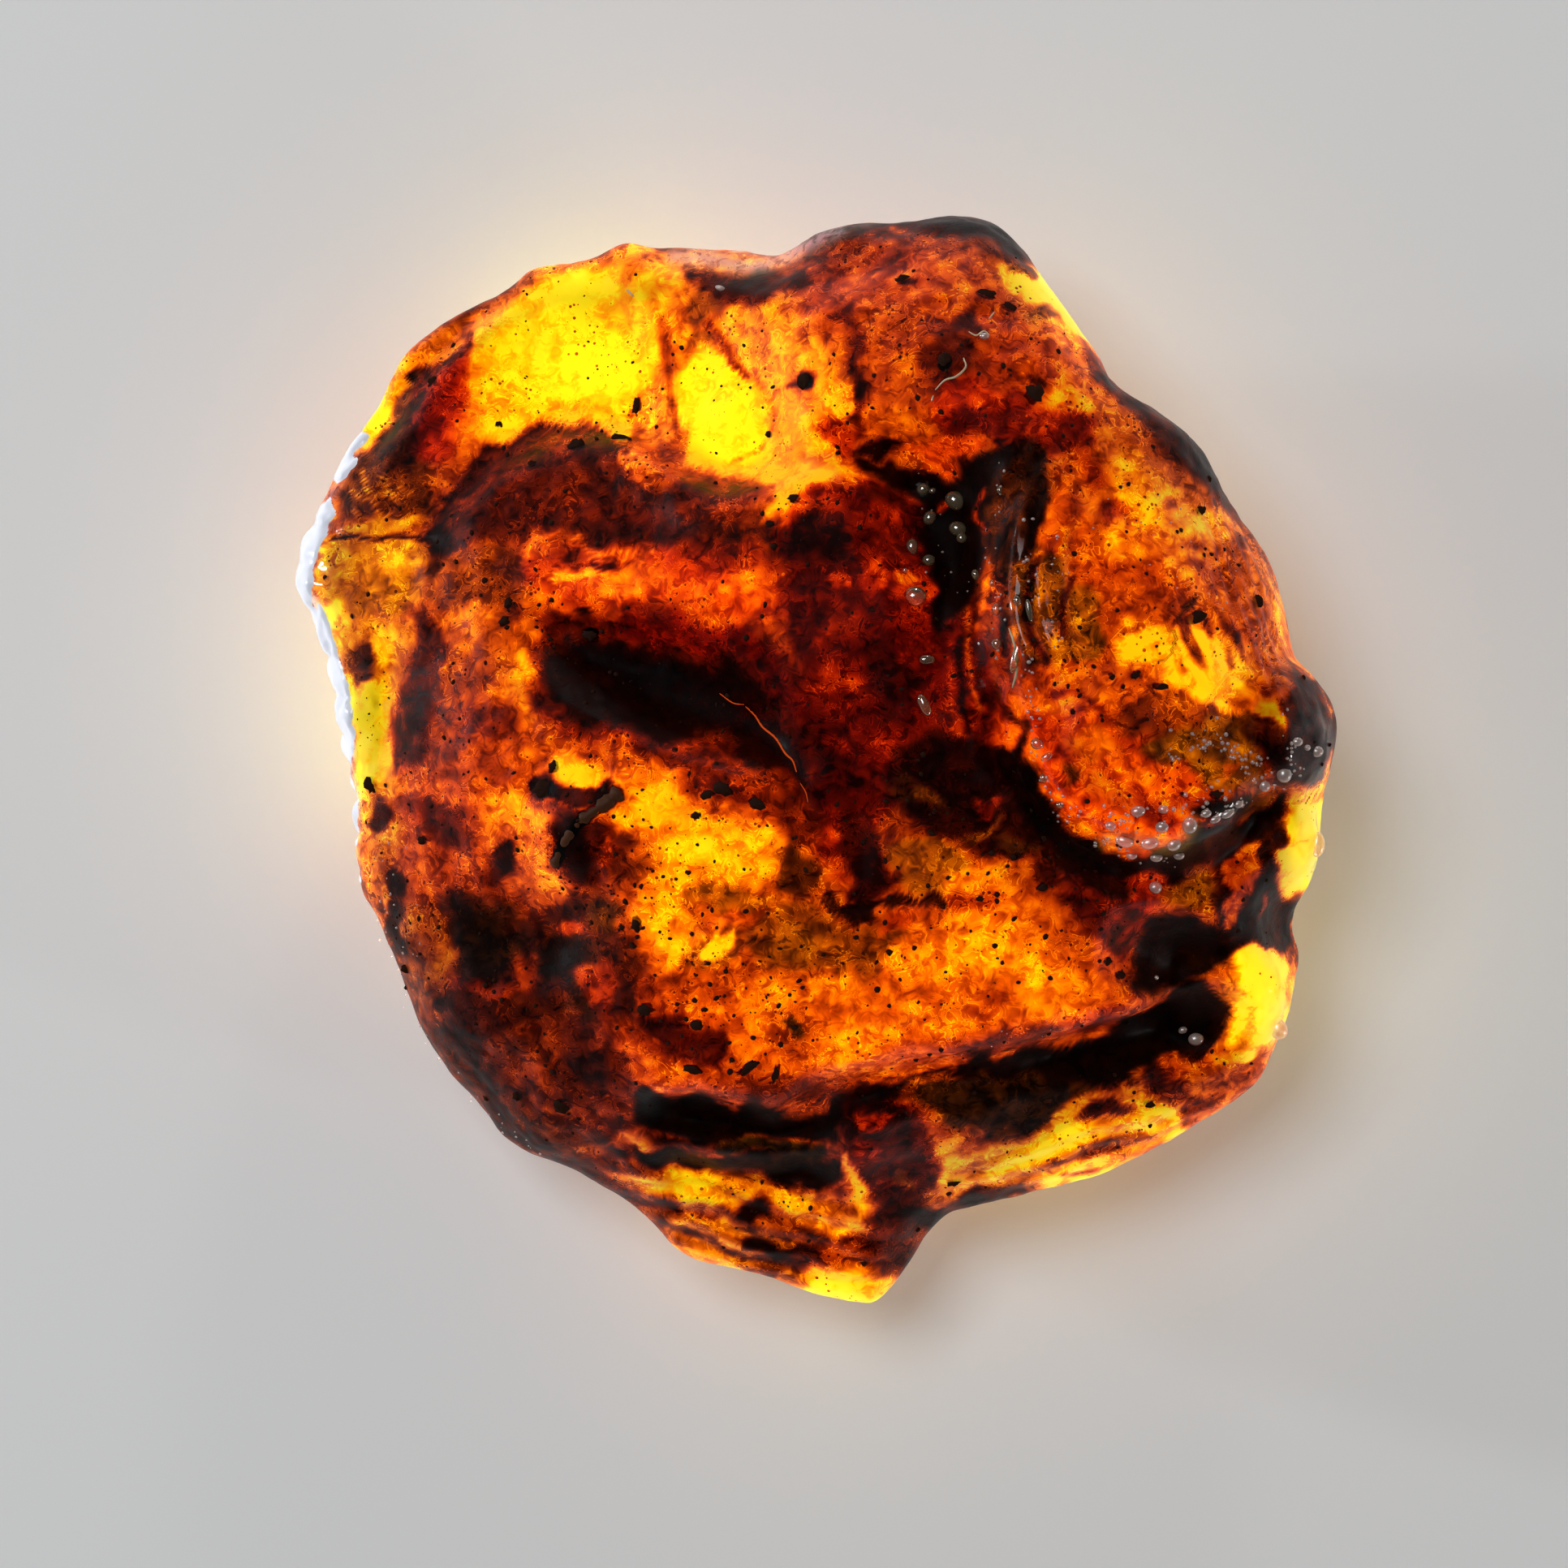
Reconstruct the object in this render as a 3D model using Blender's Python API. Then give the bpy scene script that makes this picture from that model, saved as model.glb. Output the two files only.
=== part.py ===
"""A rough lump of amber, lying on its flat underside.

Run it with: blender --background --python part.py

The lump is one solid. It starts as a ball of even quads, and stone_points moves each point of the
ball to its place: out to an irregular outline, up to a domed crown and down to a shallower belly.
relief_height then adds what the resin did as it set and what the ground did to it since: a thick
lobe with a rolled lip, two ledges with grooves under them, hollows, folds, a knob and small lumps.
Decimate keeps the triangles where the surface turns, and a plane cut leaves the flat it rests on.

Lengths are in millimetres until the last step, which turns them into Blender's metres.
Seen from above, +Y is the blunt end, -Y the pointed one, and +X the side with the knob.
"""

import math

import bmesh
import bpy
import numpy as np

MM = 0.001  # metres in a millimetre

# --- Driving dimensions, in millimetres -------------------------------------------------------

WIDTH = 57.2  # along X
LENGTH = 60.0  # along Y, from the blunt end to the tip
RIM_HEIGHT = 10.0  # the widest line's height above the floor
RIM_TILT = 1.6  # how much higher that line is on the thick side than on the thin one
RIM_TILT_TOWARDS = math.radians(35)
CROWN_HEIGHT = 9.4  # from the widest line up to the plain crown
BELLY_BELOW_FLOOR = 0.9  # how far the belly would reach below the floor if it weren't cut flat
PLAN_POWER = 0.86  # under 1 makes the side wall steeper than a ball's
CROWN_POWER = 0.9
BELLY_POWER = 0.95
CORNER_POWER = 3  # how soon the outline's corners fade into a plain round away from the rim
CORNER_SPREAD = math.radians(26)

BALL_CUTS = 87  # cuts in each edge of the cube that becomes the ball
KEPT_TRIANGLES = 9200

# The outline seen from above, anticlockwise from the knob's lower side.
OUTLINE = [
    (28.3, -0.4), (28.6, 1.6), (28.3, 3.4), (27.5, 4.8), (26.5, 5.9), (25.9, 8.2),
    (24.8, 11.0), (23.2, 13.5), (21.0, 16.9), (18.8, 18.7), (16.6, 20.0), (15.4, 22.2),
    (13.6, 25.0), (11.2, 28.1), (9.5, 29.5), (7.4, 30.0), (3.0, 29.8), (0.8, 29.3),
    (-1.7, 28.1), (-4.4, 28.4), (-8.5, 28.4), (-10.6, 28.6), (-12.5, 27.8), (-15.5, 27.5),
    (-17.0, 26.5), (-20.0, 24.8), (-22.7, 22.6), (-24.3, 19.4), (-25.8, 16.7), (-28.1, 12.8),
    (-28.6, 10.0), (-27.5, 7.3), (-26.1, 0.0), (-25.6, -2.2), (-25.5, -6.4), (-24.2, -9.4),
    (-22.4, -14.7), (-18.9, -19.0), (-16.3, -21.4), (-12.5, -22.9), (-9.8, -24.6), (-7.2, -27.1),
    (-3.5, -28.2), (0.2, -29.4), (2.4, -30.0), (3.6, -29.9), (5.0, -28.3), (6.6, -25.9),
    (8.2, -24.6), (12.1, -23.6), (16.4, -22.4), (20.4, -20.4), (24.3, -17.9), (25.8, -14.9),
    (26.9, -11.0), (26.5, -8.7), (27.5, -5.9), (27.7, -2.8),
]

# Broad swells and sags of the crown: centre, radii, turn in degrees, height.
SWELLS = {
    "thick_lobe": ((13.0, 9.5), (14.5, 17.0), 25, 4.4),
    "blunt_shoulder": ((8.0, 23.5), (8.0, 6.5), 0, 1.6),
    "middle_back": ((-6.0, -5.0), (15.0, 9.0), -10, 1.5),
    "thin_blunt_side": ((-15.0, 21.0), (13.0, 9.0), 35, -2.6),
    "thin_long_side": ((-24.0, 2.0), (6.0, 16.0), 0, -1.6),
    "thin_tip": ((1.0, -26.0), (13.0, 6.0), 0, -2.6),
    "thin_toe": ((20.0, -17.0), (10.0, 7.0), 25, -1.8),
}

# Hollows and raised knobs with a definite edge: centre, radii, turn in degrees, height, sharpness.
FORMS = {
    "drip_hollow": ((6.7, 12.4), (3.1, 4.7), 12, -3.6, 1.5),
    "hollow_mouth": ((4.0, 16.0), (3.4, 1.7), -25, -1.9, 1.6),
    "hollow_run": ((7.0, 6.5), (1.9, 3.6), -4, -1.5, 1.4),
    "long_recess": ((-7.4, 3.9), (7.6, 2.7), -24, -3.0, 1.7),
    "recess_tail": ((1.9, -2.2), (4.2, 3.0), -55, -1.3, 1.2),
    "wide_window": ((-12.5, 21.3), (7.4, 4.6), 18, -1.6, 1.8),
    "narrow_window": ((-4.4, 19.4), (3.0, 5.4), 10, -1.5, 1.8),
    "shoulder_scoop": ((-2.2, 27.6), (5.4, 1.6), -6, -1.5, 1.4),
    "knob": ((26.5, 1.9), (2.5, 3.7), 0, 2.7, 2.2),
    "edge_notch": ((26.4, -8.6), (2.0, 3.6), 8, -2.6, 1.6),
    "edge_pad": ((26.2, -4.4), (1.9, 2.7), 0, 1.4, 1.6),
    "toe_pad": ((24.6, -12.6), (2.4, 2.6), 20, 1.3, 1.6),
    "round_pit": ((18.6, -10.2), (2.6, 2.3), 0, -2.1, 1.8),
    "toe_pit": ((20.8, -14.3), (2.6, 1.9), 25, -1.8, 1.8),
    "low_pit": ((-15.4, -9.2), (3.6, 3.2), 0, -1.3, 1.5),
    "plant_scrap": ((-11.2, -2.0), (2.7, 1.1), 38, 0.7, 1.3),
    "scrap_mound": ((-13.6, -4.6), (2.0, 3.6), -14, 0.8, 1.6),
    "bright_flake": ((-5.0, -9.5), (1.7, 1.0), 22, 0.5, 2.0),
    "tip_boss": ((2.9, -18.9), (2.7, 2.5), 0, 1.1, 1.2),
    "tip_spine": ((2.2, -22.6), (1.3, 3.2), 8, 0.5, 1.0),
    "lobe_pan": ((16.4, 1.2), (4.4, 3.2), -20, -0.9, 1.8),
}

# The edges of resin layers: their line seen from above, with the high side on the left of the way
# they run. step is the drop, lip the roll along the top of it, groove the furrow at its foot.
EDGES = {
    "lobe_lip": dict(
        line=[(9.2, 11.5), (10.2, 7.0), (10.7, 3.4), (11.4, 0.6), (13.2, -2.4), (16.2, -4.4),
              (19.0, -4.8), (21.6, -3.9), (24.4, -1.9), (26.6, -1.2)],
        step=1.0, lip=0.55, groove=1.4, spread=1.5, builds_over=14.0),
    "long_ledge": dict(
        line=[(-10.6, -18.0), (-7.0, -17.7), (-4.2, -18.3), (-1.8, -18.9), (1.2, -17.3),
              (4.4, -16.2), (8.6, -15.4), (13.4, -14.7), (17.4, -13.6), (20.4, -12.2)],
        step=1.3, lip=0.5, groove=1.5, spread=1.45, builds_over=4.0),
    "low_ledge": dict(
        line=[(-9.8, -21.2), (-6.0, -21.6), (-2.0, -21.9), (1.4, -21.7)],
        step=0.4, lip=0.3, groove=0.9, spread=1.0, builds_over=4.0),
    "window_scarp": dict(
        line=[(2.8, 16.6), (-1.6, 15.4), (-5.4, 14.6), (-8.0, 16.2), (-10.4, 17.8), (-13.6, 17.7),
              (-17.0, 15.9), (-19.6, 13.6), (-21.2, 11.6)],
        step=0.9, lip=0.35, groove=0.4, spread=1.5, builds_over=5.0),
    "bevel_crease": dict(
        line=[(-16.2, 26.2), (-18.6, 23.9), (-21.2, 20.9), (-23.4, 18.0), (-25.0, 15.2)],
        step=0.3, lip=0.3, groove=0.6, spread=0.9, builds_over=3.0),
    "side_furrow": dict(
        line=[(-21.6, 8.0), (-21.8, 3.6), (-22.2, -1.8)],
        step=0.0, lip=0.0, groove=0.8, spread=1.4, builds_over=3.0),
    "ridge_seam": dict(
        line=[(-4.6, 4.0), (-2.4, 2.4), (-0.8, -0.4), (0.6, -3.6)],
        step=0.35, lip=0.5, groove=0.3, spread=1.2, builds_over=4.0),
}

END_FADE = 3.0  # the length over which an edge fades at its last end

# Folds of resin that hang down the lobe's inner side, beside the hollow.
FOLDS_AROUND = ((11.6, 9.6), (3.0, 7.6), 4)  # centre, radii, turn in degrees
FOLD_SPACING = 2.3
FOLD_HEIGHT = 0.42

# Rounded scallops along the thin long side.
SCALLOP_SPACING = math.radians(4.4)
SCALLOP_DEPTH = 0.28
SCALLOP_POWER = 9  # how soon they fade above and below the rim
SCALLOP_FROM, SCALLOP_TO = math.radians(150), math.radians(196)

# Small lumps all over: size across, height.
LUMPS = [(9.0, 0.55), (4.6, 0.34), (2.4, 0.16)]
BELLY_LUMPS = [(13.0, 0.75), (6.0, 0.4), (3.0, 0.18)]


# --- Curves and fields ------------------------------------------------------------------------

def smooth_line(points, closed=False, steps=6):
    """A Catmull-Rom curve through points, as an array of shape (n, 2)."""
    p = np.array(points, float)
    if closed:
        p = np.vstack([p[-1], p, p[0], p[1]])
    else:
        p = np.vstack([2 * p[0] - p[1], p, 2 * p[-1] - p[-2]])
    t = np.linspace(0, 1, steps, endpoint=False)[None, :, None]
    a, b, c, d = (p[i:len(p) - 3 + i, None] for i in range(4))
    curve = 0.5 * (2 * b + (c - a) * t + (2 * a - 5 * b + 4 * c - d) * t**2
                   + (3 * b - a - 3 * c + d) * t**3)
    curve = curve.reshape(-1, 2)
    return curve if closed else np.vstack([curve, p[-2]])


def smooth_share(low, high, x):
    """0 below low, 1 above high, and an even S between them."""
    t = np.clip((x - low) / (high - low), 0, 1)
    return t * t * (3 - 2 * t)


def oval_reach(xy, centre, radii, turn):
    """How far out each point is in an oval: 0 at its centre, 1 on its edge."""
    angle = math.radians(turn)
    u, v = (xy - np.array(centre)).T
    along = (u * math.cos(angle) + v * math.sin(angle)) / radii[0]
    across = (v * math.cos(angle) - u * math.sin(angle)) / radii[1]
    return np.hypot(along, across)


def beside_line(xy, line, builds_over):
    """Each point's distance to a line, positive on its left, and how strong the line is there: it
    builds up from nothing at its first end over a given length, and fades soon before its last."""
    curve = smooth_line(line)
    start, way = curve[:-1], np.diff(curve, axis=0)
    length = np.hypot(*way.T)
    offset = xy[:, None, :] - start[None, :, :]
    share = np.clip((offset * way).sum(2) / length**2, 0, 1)
    gap = np.linalg.norm(offset - share[:, :, None] * way, axis=2)
    nearest = gap.argmin(1)
    row = np.arange(len(xy))
    turn = way[nearest, 0] * offset[row, nearest, 1] - way[nearest, 1] * offset[row, nearest, 0]
    side = np.where(turn >= 0, 1.0, -1.0)
    run = (np.concatenate([[0], np.cumsum(length)])[nearest] + share[row, nearest] * length[nearest])
    strength = smooth_share(0, builds_over, run) * smooth_share(0, END_FADE, length.sum() - run)
    return gap[row, nearest] * side, strength


def lattice_value(cell, seed):
    """A fixed number from 0 to 1 for each lattice point, with no pattern to the eye."""
    mixed = np.sin(cell @ np.array([127.1, 311.7, 74.7]) + 19.19 * seed) * 43758.5453
    return mixed - np.floor(mixed)


def lump_field(points, size, seed):
    """Value noise from -1 to 1, whose lumps are about size across."""
    p = points / size
    cell = np.floor(p)
    f = p - cell
    f = f * f * (3 - 2 * f)
    total = np.zeros(len(p))
    for corner in np.ndindex(2, 2, 2):
        weight = np.prod(np.where(np.array(corner) == 1, f, 1 - f), axis=1)
        total += weight * lattice_value(cell + corner, seed)
    return 2 * total - 1


# --- The lump ---------------------------------------------------------------------------------

def outline_radius(angle, level):
    """The outline's distance from the centre in each direction. Its corners are sharp at the rim,
    where level is 1, and melt into a plain round above and below it."""
    curve = smooth_line(OUTLINE, closed=True)
    turn = np.arctan2(curve[:, 1], curve[:, 0])
    order = turn.argsort()

    def at(direction):
        return np.interp(direction, turn[order], np.hypot(*curve[order].T), period=2 * math.pi)

    plain = np.mean([at(angle + off) for off in np.linspace(-CORNER_SPREAD, CORNER_SPREAD, 9)], axis=0)
    reach = plain + (at(angle) - plain) * level**CORNER_POWER
    ripple = np.abs(np.sin((angle - SCALLOP_FROM) * math.pi / SCALLOP_SPACING))
    on_side = smooth_share(SCALLOP_FROM, SCALLOP_FROM + 0.1, angle % (2 * math.pi))
    on_side *= 1 - smooth_share(SCALLOP_TO - 0.1, SCALLOP_TO, angle % (2 * math.pi))
    return reach - SCALLOP_DEPTH * on_side * (1 - ripple) * level**SCALLOP_POWER


def edge_height(xy, line, step, lip, groove, spread, builds_over):
    """A resin layer's edge: up on its left, a rolled lip there, and a furrow at its foot."""
    beside, strength = beside_line(xy, line, builds_over)
    high_side = smooth_share(-0.4 * spread, 0.4 * spread, beside)
    fade = np.exp(-np.maximum(beside, 0) / (5 * spread)) * np.exp(-np.maximum(-beside, 0) / (9 * spread))
    rise = step * (high_side - 0.5) * fade
    roll = lip * np.exp(-((beside - 0.9 * spread) / (0.8 * spread)) ** 2)
    furrow = groove * np.exp(-((beside + 0.9 * spread) / (0.8 * spread)) ** 2)
    return (rise + roll - furrow) * strength


def fold_height(xy):
    """Rounded folds side by side, which bend towards the lobe's lip."""
    centre, radii, turn = FOLDS_AROUND
    reach = oval_reach(xy, centre, radii, turn)
    u, v = (xy - np.array(centre)).T
    bend = 0.055 * v * v
    wave = np.sin((u - bend) * math.pi / FOLD_SPACING) ** 2
    return FOLD_HEIGHT * wave * (1 - smooth_share(0.5, 1.25, reach))


def relief_height(xy):
    """What is added to the plain crown: swells, forms, layer edges and folds."""
    height = fold_height(xy)
    for centre, radii, turn, rise in SWELLS.values():
        height += rise * np.exp(-oval_reach(xy, centre, radii, turn) ** 2)
    for centre, radii, turn, rise, sharpness in FORMS.values():
        height += rise * np.exp(-oval_reach(xy, centre, radii, turn) ** (2 * sharpness))
    for edge in EDGES.values():
        height += edge_height(xy, **edge)
    return height


def stone_points(way):
    """Moves directions from the lump's middle (n, 3) to points of its surface, in millimetres."""
    angle = np.arctan2(way[:, 1], way[:, 0])
    level = np.hypot(way[:, 0], way[:, 1])
    upper = way[:, 2] > 0
    reach = outline_radius(angle, level) * level**PLAN_POWER
    xy = np.column_stack([reach * np.cos(angle), reach * np.sin(angle)])
    rim = RIM_HEIGHT + RIM_TILT * np.cos(angle - RIM_TILT_TOWARDS) * level
    crown = CROWN_HEIGHT * np.abs(way[:, 2]) ** CROWN_POWER
    belly = (RIM_HEIGHT + BELLY_BELOW_FLOOR) * np.abs(way[:, 2]) ** BELLY_POWER
    z = rim + np.where(upper, crown, -belly)

    on_crown = smooth_share(-0.35, 0.35, way[:, 2])
    z += relief_height(xy) * on_crown
    points = np.column_stack([xy, z])
    outward = way / np.linalg.norm(way, axis=1, keepdims=True)
    for seed, ((size, height), (belly_size, belly_height)) in enumerate(zip(LUMPS, BELLY_LUMPS)):
        above = height * lump_field(points, size, seed)
        below = belly_height * lump_field(points, belly_size, seed + 10)
        points += outward * (above * on_crown + below * (1 - on_crown))[:, None]
    return points


def ball_of_quads():
    """A cube cut into even quads, each corner pushed out so that the quads stay even on a ball."""
    mesh = bmesh.new()
    bmesh.ops.create_cube(mesh, size=2)
    bmesh.ops.subdivide_edges(mesh, edges=mesh.edges[:], cuts=BALL_CUTS, use_grid_fill=True)
    data = bpy.data.meshes.new("amber")
    mesh.to_mesh(data)
    mesh.free()
    corners = np.empty(len(data.vertices) * 3, np.float32)
    data.vertices.foreach_get("co", corners)
    way = np.tan(corners.reshape(-1, 3).astype(float) * math.pi / 4)
    return data, way / np.linalg.norm(way, axis=1, keepdims=True)


def fitted(points):
    """Centres the outline on the origin and gives it its width and length."""
    low, high = points[:, :2].min(0), points[:, :2].max(0)
    points[:, :2] = (points[:, :2] - (low + high) / 2) * (np.array([WIDTH, LENGTH]) / (high - low))
    return points


def amber_material():
    material = bpy.data.materials.new("amber")
    material.use_nodes = True
    shader = material.node_tree.nodes["Principled BSDF"]
    shader.inputs["Base Color"].default_value = (0.72, 0.24, 0.02, 1)
    shader.inputs["Roughness"].default_value = 0.16
    shader.inputs["Metallic"].default_value = 0.0
    shader.inputs["IOR"].default_value = 1.54
    shader.inputs["Transmission Weight"].default_value = 0.6
    return material


def floor_cutter(collection):
    """A block whose top face is the floor. It takes off what the belly has below it."""
    depth = 10 * MM
    bpy.ops.mesh.primitive_cube_add(size=1, location=(0, 0, -depth / 2))
    cutter = bpy.context.object
    cutter.name = "floor_cutter"
    cutter.scale = (2 * WIDTH * MM, 2 * LENGTH * MM, depth)
    bpy.ops.object.transform_apply(scale=True)
    cutter.hide_render = True
    cutter.display_type = "WIRE"
    for holder in cutter.users_collection:
        holder.objects.unlink(cutter)
    collection.objects.link(cutter)
    return cutter


def build_amber(parts, cutters):
    data, way = ball_of_quads()
    points = fitted(stone_points(way)) * MM
    data.vertices.foreach_set("co", points.astype(np.float32).ravel())
    data.update()
    data.shade_smooth()
    data.set_sharp_from_angle(angle=math.radians(50))
    data.materials.append(amber_material())
    amber = bpy.data.objects.new("amber", data)
    parts.objects.link(amber)

    fewer = amber.modifiers.new("fewer_triangles", "DECIMATE")
    fewer.ratio = KEPT_TRIANGLES / (2 * len(data.polygons))
    flat = amber.modifiers.new("resting_flat", "BOOLEAN")
    flat.operation = "DIFFERENCE"
    flat.object = floor_cutter(cutters)
    return amber


def main():
    for old in list(bpy.data.objects):
        bpy.data.objects.remove(old)
    parts = bpy.data.collections.new("rough_amber")
    cutters = bpy.data.collections.new("cutters")
    for holder in (parts, cutters):
        bpy.context.scene.collection.children.link(holder)
    build_amber(parts, cutters)


main()
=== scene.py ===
"""A rough lump of amber lying on a pale floor, seen from straight above.

The lump is worked out as points: a disc of even cells for its crown and rings for its belly are
moved out to an irregular outline, and relief is added to their height. Clouds laid over each other
say where the resin is clear, brown, red, olive or black. Lengths are in millimetres until a mesh
is made, and +Y is the blunt end, -Y the pointed one, +X the side with the knob.
"""

import math

import bpy
import numpy as np
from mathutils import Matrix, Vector


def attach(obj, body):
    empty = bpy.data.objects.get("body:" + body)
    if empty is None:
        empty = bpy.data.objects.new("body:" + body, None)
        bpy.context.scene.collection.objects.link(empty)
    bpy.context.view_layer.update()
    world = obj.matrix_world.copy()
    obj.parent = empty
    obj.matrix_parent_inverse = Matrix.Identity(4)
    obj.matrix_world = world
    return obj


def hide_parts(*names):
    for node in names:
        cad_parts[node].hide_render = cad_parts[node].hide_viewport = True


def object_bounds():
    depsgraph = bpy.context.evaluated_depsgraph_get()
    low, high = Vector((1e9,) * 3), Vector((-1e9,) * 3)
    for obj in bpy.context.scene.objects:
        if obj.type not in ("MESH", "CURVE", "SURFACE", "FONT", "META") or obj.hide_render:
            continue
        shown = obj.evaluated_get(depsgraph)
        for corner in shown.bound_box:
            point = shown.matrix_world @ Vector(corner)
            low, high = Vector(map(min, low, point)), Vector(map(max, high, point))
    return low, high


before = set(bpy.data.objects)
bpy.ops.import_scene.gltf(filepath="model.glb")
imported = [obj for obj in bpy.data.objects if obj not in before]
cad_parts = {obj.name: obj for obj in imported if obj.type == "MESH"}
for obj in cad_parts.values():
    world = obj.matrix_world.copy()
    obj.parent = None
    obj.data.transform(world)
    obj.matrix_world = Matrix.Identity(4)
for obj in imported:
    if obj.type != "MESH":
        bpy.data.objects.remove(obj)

CAD_BOX = [list(corner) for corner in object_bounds()]

MM = 0.001  # metres in a millimetre
CHUNK = 20000  # points measured against a curve at a time

# The seeds of the value noises and of the random draws.
LUMPS_SEED, BELLY_SEED, WRINKLES_SEED, WANDER_SEEDS = 0, 10, 20, (40, 50)
LAYERS_SEED, STAIN_SEED, GAPS_SEEDS, FROST_SEEDS = 60, 61, (70, 71), (90, 91, 92)
PITS_SEED, PLACES_SEED, GRAINS_SEED, SMALL_SEED, LARGE_SEED, DROPS_SEED = 5, 11, 12, 13, 14, 15

# --- The lump's driving dimensions, as in the solid -------------------------------------------

WIDTH = 57.2  # along X
LENGTH = 60.0  # along Y, from the blunt end to the tip
RIM_HEIGHT = 10.0  # the widest line's height above the floor
RIM_TILT = 1.6  # how much higher that line is on the thick side than on the thin one
RIM_TILT_TOWARDS = math.radians(35)
CROWN_HEIGHT = 9.4  # from the widest line up to the plain crown
BELLY_BELOW_FLOOR = 0.9  # how far the belly would reach below the floor if it weren't flat there
PLAN_POWER = 0.86  # under 1 makes the side wall steeper than a ball's
CROWN_POWER = 0.9
BELLY_POWER = 0.95
CORNER_POWER = 3  # how soon the outline's corners fade into a plain round away from the rim
CORNER_SPREAD, CORNER_SAMPLES = math.radians(26), 9
CROWN_BLEND = 0.35  # half the height over which the crown's relief fades into the belly's

EVEN_SHARE = 0.6  # how evenly the crown's rows are spread from its middle to its rim
CROWN_CELLS = 264  # cells across the crown's sheet
BELLY_RINGS = 22

# The outline seen from above, anticlockwise from the knob's lower side.
OUTLINE = [
    (28.3, -0.4), (28.6, 1.6), (28.3, 3.4), (27.5, 4.8), (26.5, 5.9), (25.9, 8.2), (24.8, 11),
    (23.2, 13.5), (21, 16.9), (18.8, 18.7), (16.6, 20), (15.4, 22.2), (13.6, 25), (11.2, 28.1),
    (9.5, 29.5), (7.4, 30), (3, 29.8), (0.8, 29.3), (-1.7, 28.1), (-4.4, 28.4), (-8.5, 28.4),
    (-10.6, 28.6), (-12.5, 27.8), (-15.5, 27.5), (-17, 26.5), (-20, 24.8), (-22.7, 22.6), (-24.3, 19.4),
    (-25.8, 16.7), (-28.1, 12.8), (-28.6, 10), (-27.5, 7.3), (-26.1, 0), (-25.6, -2.2), (-25.5, -6.4),
    (-24.2, -9.4), (-22.4, -14.7), (-18.9, -19), (-16.3, -21.4), (-12.5, -22.9), (-9.8, -24.6),
    (-7.2, -27.1), (-3.5, -28.2), (0.2, -29.4), (2.4, -30), (3.6, -29.9), (5, -28.3), (6.6, -25.9),
    (8.2, -24.6), (12.1, -23.6), (16.4, -22.4), (20.4, -20.4), (24.3, -17.9), (25.8, -14.9), (26.9, -11),
    (26.5, -8.7), (27.5, -5.9), (27.7, -2.8),
]

# Broad swells and sags of the crown: centre, radii, turn in degrees, height.
SWELLS = {
    "thick_lobe": ((13, 9.5), (14.5, 17), 25, 4.4),
    "blunt_shoulder": ((8, 23.5), (8, 6.5), 0, 1.6),
    "middle_back": ((-6, -5), (15, 9), -10, 1.5),
    "thin_blunt_side": ((-15, 21), (13, 9), 35, -2.6),
    "thin_long_side": ((-24, 2), (6, 16), 0, -1.6),
    "thin_tip": ((1, -26), (13, 6), 0, -2.6),
    "thin_toe": ((20, -17), (10, 7), 25, -1.8),
}

# Hollows and raised knobs with a definite edge: centre, radii, turn in degrees, height, sharpness.
FORMS = {
    "drip_hollow": ((6.7, 12.4), (3.1, 4.7), 12, -3.6, 1.5),
    "hollow_mouth": ((4, 16), (3.4, 1.7), -25, -1.9, 1.6),
    "hollow_run": ((7, 6.5), (1.9, 3.6), -4, -1.5, 1.4),
    "long_recess": ((-7.4, 3.9), (7.6, 2.7), -24, -3, 1.7),
    "recess_tail": ((1.9, -2.2), (4.2, 3), -55, -1.3, 1.2),
    "wide_window": ((-12.5, 21.3), (7.4, 4.6), 18, -1.6, 1.8),
    "narrow_window": ((-4.4, 19.4), (3, 5.4), 10, -1.5, 1.8),
    "shoulder_scoop": ((-2.2, 27.6), (5.4, 1.6), -6, -1.5, 1.4),
    "knob": ((26.5, 1.9), (2.5, 3.7), 0, 2.7, 2.2),
    "edge_notch": ((26.4, -8.6), (2, 3.6), 8, -2.6, 1.6),
    "edge_pad": ((26.2, -4.4), (1.9, 2.7), 0, 1.4, 1.6),
    "toe_pad": ((24.6, -12.6), (2.4, 2.6), 20, 1.3, 1.6),
    "round_pit": ((18.6, -10.2), (2.6, 2.3), 0, -2.1, 1.8),
    "toe_pit": ((20.8, -14.3), (2.6, 1.9), 25, -1.8, 1.8),
    "low_pit": ((-15.4, -9.2), (3.6, 3.2), 0, -1.3, 1.5),
    "plant_scrap": ((-11.2, -2), (2.7, 1.1), 38, 0.7, 1.3),
    "scrap_mound": ((-13.6, -4.6), (2, 3.6), -14, 0.8, 1.6),
    "bright_flake": ((-5, -9.5), (1.7, 1), 22, 0.5, 2),
    "tip_boss": ((2.9, -18.9), (2.7, 2.5), 0, 1.1, 1.2),
    "tip_spine": ((2.2, -22.6), (1.3, 3.2), 8, 0.5, 1),
    "lobe_pan": ((16.4, 1.2), (4.4, 3.2), -20, -0.9, 1.8),
}

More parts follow.
